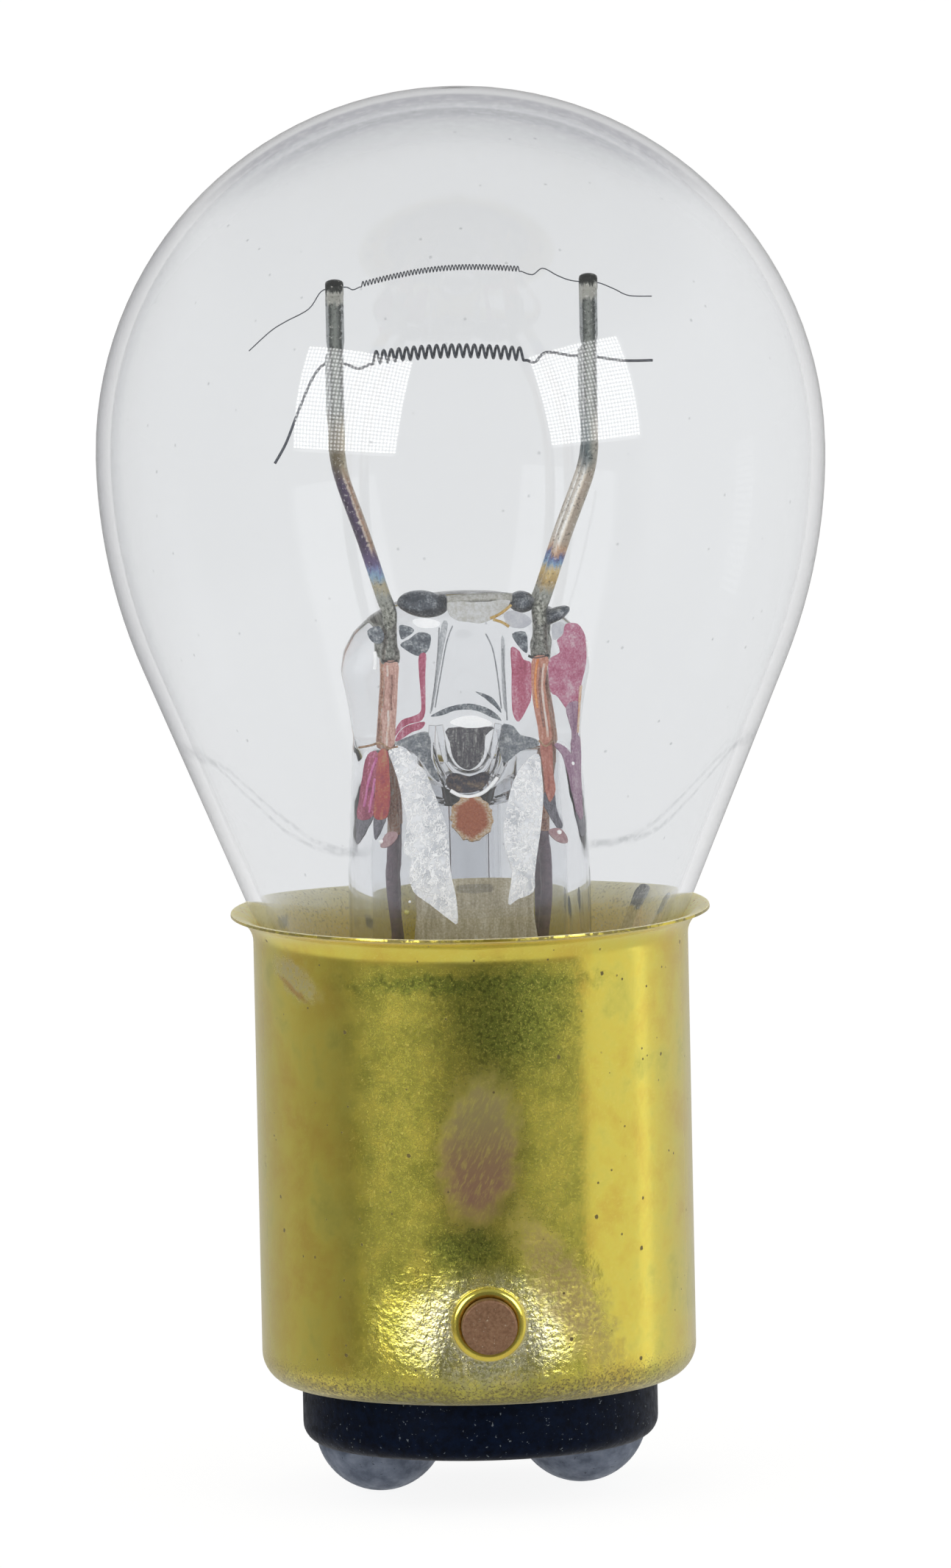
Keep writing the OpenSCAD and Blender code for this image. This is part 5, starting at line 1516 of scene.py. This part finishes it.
# painted glints: white, and glowing a little
glint = filmFinish("bright painted glint", ("#F1F2F3", "#FAFAFA", "#FFFFFF"), 0.4, loose, 0.15,
                   Emission_Color="#FFFFFF", Emission_Strength=0.3)
paleHighlightFinish = filmFinish("pale painted highlight", ("#CFD0D8", "#DADBE1", "#E6E7EA"), 0.4, loose, 0.2)
redOxide = filmFinish("red copper oxide", ("#A83A5C", "#C4587A", "#CE7590", "#E3AABB"), 0.4, upright, 0.25)
rose = filmFinish("rose copper oxide", ("#B44E76", "#CC7292", "#D48EA8", "#E8C2D0"), 0.5, loose, 0.25)
crimson = filmFinish("crimson copper oxide", ("#8E2E52", "#B04A6C", "#C2607A", "#E58AB8"), 0.3, upright, 0.25)
mauveOxide = filmFinish("mauve copper oxide", ("#8A6484", "#A97E9C", "#B794AC", "#CDB4C4"), 0.4, upright, 0.25)
pinkOxide = filmFinish("pink copper oxide", ("#B58A90", "#C7A2A6", "#D4B8BA"), 0.3, loose, 0.25)
rustOxide = filmFinish("rust red oxide", ("#A8344A", "#C04A4C", "#C9604C", "#C98A66"), 0.35, upright, 0.25)
darkOxide = filmFinish("dark oxide", ("#55525F", "#75737E", "#918F98"), 0.2, upright, 0.3)
flankShadingFinish = filmFinish("silvery grey painted shade", ("#AEB2B7", "#C8CBCF", "#E2E4E6"), 0.12, upright, 0.3)
hollowShade = filmFinish("shaded speckled glass", ("#5C646E", "#80868E", "#A0A5AA", "#D2D4D6"), 0.3, loose, 0.25, 0.02)
threadGrey = filmFinish("grey painted shade line", ("#8A8E94", "#A6A9AE", "#C6C9CC"), 0.15, upright, 0.3)
copperHighlight = filmFinish("painted copper highlight line", ("#E3A07C", "#F6C9A8", "#FFF0DC"), 0.2, upright, 0.25)
brownRing = filmFinish("brown meniscus ring", ("#8F6A50", "#B58B68", "#D6B594"), 0.1, loose, 0.3)
magenta = filmFinish("magenta streak", ("#D25A9C", "#E680BC", "#F0A0D0"), 0.2, upright, 0.25)
amber = filmFinish("amber stain", ("#C99A3E", "#DDB45C", "#EBD08E"), 0.15, loose, 0.3)
haze = filmFinish("frosted ridge", ("#A5A296", "#BFBDB3", "#CFCEC8", "#DEDEDA"), 0.16, loose, 0.6, 0.02)
veilGlass = filmFinish("frosted veil", ("#CFCDC4", "#DEDDD8", "#E8E8E6", "#F0F0F0"), 0.2, loose, 0.6)
blackRing = filmFinish("black oxide ring", ("#131316", "#1E1E22", "#3A3A3C"), 0.1, loose, 0.4)
milkyGlass = filmFinish("milky tube glass", ("#A89C80", "#BDB294", "#CDC4AA", "#E2DCCB"), 0.5, upright, 0.4)
wrinkledGlass = wrinkledFinish()

# group, finish, slot, how far behind the stem's front (or before it) and how thick, in millimetres
for group, finish, slot, sink, thick in (
        ("darkShadePatches", darkSpeckledShade, "stem_glass", -0.01, 0.05),
        ("whiteGlints", glint, "stem_glass", -0.03, 0.03),
        ("palePaintedHighlights", paleHighlightFinish, "stem_glass", -0.02, 0.03),
        ("pinkSealFace", sealPink, "copper_seal", -0.04, 0.04),
        ("orangeSealFace", sealOrange, "copper_seal", -0.04, 0.04),
        ("redSealFace", sealRed, "copper_seal", -0.04, 0.04),
        ("redFilms", redOxide, "copper_seal", -0.03, 0.04),
        ("roseFilms", rose, "copper_seal", -0.03, 0.04),
        ("crimsonFilms", crimson, "copper_seal", -0.03, 0.04),
        ("mauveFilms", mauveOxide, "copper_seal", -0.04, 0.04),
        ("pinkFilms", pinkOxide, "copper_seal", -0.03, 0.04),
        ("rustFilms", rustOxide, "copper_seal", -0.03, 0.04),
        ("darkTips", darkOxide, "copper_lead", -0.02, 0.04),
        ("holeShade", holeShadeFinish, "stem_glass", 0.02, 0.05),
        ("pitShade", pitShadeFinish, "stem_glass", 0.0, 0.05),
        ("archShadows", darkSpeckledShade, "stem_glass", -0.01, 0.04),
        ("bossFlankShading", flankShadingFinish, "stem_glass", 0.0, 0.03),
        ("shadedHollows", hollowShade, "stem_glass", -0.01, 0.05),
        ("hazyVeil", veilGlass, "stem_glass", -0.03, 0.04),
        ("milkyTube", milkyGlass, "stem_glass", -0.02, 0.04),
        ("rippledWings", wrinkledGlass, "stem_glass", -0.09, 0.05)):
    settle(joined([makeInclusion(outline, sink, thick) for outline in inclusions[group].values()]),
           group, [], 60, finish)


def makeThread(line, sink, thick):
    # a fine line laid along the stem's front
    path = smoothPath([place + (0,) for place in line], 8)
    return drawnWire([(x, stemFront(x, z) + sink, z) for x, z, _ in path], thick, 3)


for group, finish, slot, sink, thick in (
        ("meltedRims", stemGlass, "stem_glass", -0.06, 0.27),
        ("paintedGlintLines", glint, "stem_glass", -0.05, 0.13),
        ("sealHighlights", sealShine, "copper_seal", -0.07, 0.09),
        ("sealShadows", sealDark, "copper_seal", -0.06, 0.07),
        ("orangeGleam", gleam, "copper_seal", -0.06, 0.09),
        ("bossShadeLines", threadGrey, "stem_glass", -0.02, 0.05),
        ("copperHighlightLines", copperHighlight, "copper_seal", -0.06, 0.11),
        ("meniscusRings", brownRing, "copper_seal", -0.05, 0.08),
        ("pinkLines", magenta, "copper_seal", -0.06, 0.1),
        ("amberStreaks", amber, "stem_glass", -0.05, 0.1),
        ("blackRings", blackRing, "nickel_post", -0.02, 0.09),
        ("ridge", haze, "stem_glass", 0.0, 0.3)):
    settle(joined([makeThread(line, sink, thick) for line in threads[group].values()]), group, [], 60, finish)


def makeOval(x, z, wide, high, deep, tilt):
    # a painted dark reflection in the glass round a post's foot
    clearSelection()
    bpy.ops.mesh.primitive_ico_sphere_add(subdivisions=4, radius=mm, location=(0, 0, 0))
    piece = bpy.context.object
    editAll(piece)
    bpy.ops.transform.resize(value=(wide, deep, high), center_override=(0, 0, 0))
    turnBy(tilt, "Y")
    shift(x, -0.35, z)
    bpy.ops.transform.vertex_random(offset=0.02 * mm, seed=3)
    bpy.ops.mesh.vertices_smooth(factor=0.5, repeat=2)
    backToObject()
    return piece


def makeBead(x, z, size):
    clearSelection()
    bpy.ops.mesh.primitive_ico_sphere_add(
        subdivisions=2, radius=size * mm, location=(x * mm, (stemFront(x, z) - 0.05) * mm, z * mm))
    bpy.ops.object.transform_apply(location=True)
    return bpy.context.object


# painted glints: small glowing white beads on the stem's front
beads = joined([makeBead(x, z, size) for x, z, size in (
    (3.62, 18.8, 0.07), (3.01, 16.6, 0.08), (-3.14, 16.44, 0.08), (-2.72, 19.41, 0.07), (-2.23, 14.43, 0.05))])
settle(beads, "paintedGlintBeads", [], 180, glint)
fluxYellow = filmFinish("yellow flux drop", ("#C9B83C", "#E6DC62", "#F4F0A0"), 0.1, loose, 0.3)
settle(makeBead(-2.34, 14.05, 0.1), "fluxDrop", [], 180, fluxYellow)

ovals = joined([makeOval(-1.43, 24.3, 0.92, 0.5, 0.7, 8), makeOval(1.98, 24.28, 0.5, 0.42, 0.6, 0),
                makeOval(3.0, 23.75, 0.75, 0.26, 0.5, -25)])
darkReflectionFinish = filmFinish("blue-grey speckled painted reflection", ("#2B333F", "#3F4854", "#6A727B", "#B4B8BB"), 0.45, loose, 0.2, 0.03)
settle(ovals, "postFootDarkReflections", [], 180, darkReflectionFinish)
print("inclusions laid")


exhaust = {"radius": 1.15, "bore": 0.65, "tip": 3.0, "top": 18.0}


def makeExhaust(e):
    r, b = e["radius"], e["bore"]
    outside = arc(0, e["tip"] + r, r, r, -80, 0, 8)
    inside = arc(0, e["tip"] + r + 0.4, b, b * 1.4, 0, -80, 6)
    body = [(r, e["tip"] + r + (e["top"] - e["tip"] - r) * k / 8) for k in range(1, 9)]
    piece = turned(outside + body + [(b, e["top"])] + inside, 48)
    closeHoles(piece)
    return piece


settle(makeExhaust(exhaust), "exhaustTube", ["exhaust_tube"], 60, stemGlass)
print("exhaust tube sealed")


dab = {"height": 17.2, "across": 0.0, "radius": 0.57, "fringe": 0.16, "sink": -0.03, "thick": 0.09}


def dabPaint(d):
    # phosphorus getter brushed on and dried: matt orange brown, grainy, thin and tan towards its ragged edge
    material, tree, shader, coords = newFinish("getter paint", Roughness=0.85)
    grains = grainOf(tree, coords, 0.07, 3.0, 0.6)
    core = patch(tree, coords, (d["across"], -3.0, d["height"]), (d["radius"], 3, d["radius"]), (0, 0, 0), 0.14, 0.5)
    heart = ramp(tree, grains, [(0.38, "#A85530"), (0.62, "#C0714C")])
    fringe = ramp(tree, grains, [(0.4, "#C89A62"), (0.6, "#E6D6C2")])
    feed(tree, layered(tree, fringe, (core, heart)), shader, "Base Color")
    dent(tree, shader, grains, 0.03)
    return material


def makeDab(d):
    outline = []
    for i in range(40):
        r = d["radius"] + d["fringe"] * random.uniform(0.7, 1.3)
        a = 2 * math.pi * i / 40
        outline.append((d["across"] + r * math.cos(a), d["height"] + r * math.sin(a)))
    return makeInclusion(outline, d["sink"], d["thick"])


settle(makeDab(dab), "getterPaint", ["getter_dab"], 60, dabPaint(dab))
print("getter dabbed on")


for node, finish in (("eyelet_left", eyeletBrass), ("eyelet_right", eyeletBrass),
                     ("basing_cement", cementFinish), ("ground_solder", rimSolder), ("ground_solder_small", rimSolder)):
    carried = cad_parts[node]
    for i in range(max(1, len(carried.material_slots))):
        if carried.material_slots:
            carried.material_slots[i].material = finish
        else:
            carried.data.materials.append(finish)
print("carried-over nodes dressed")
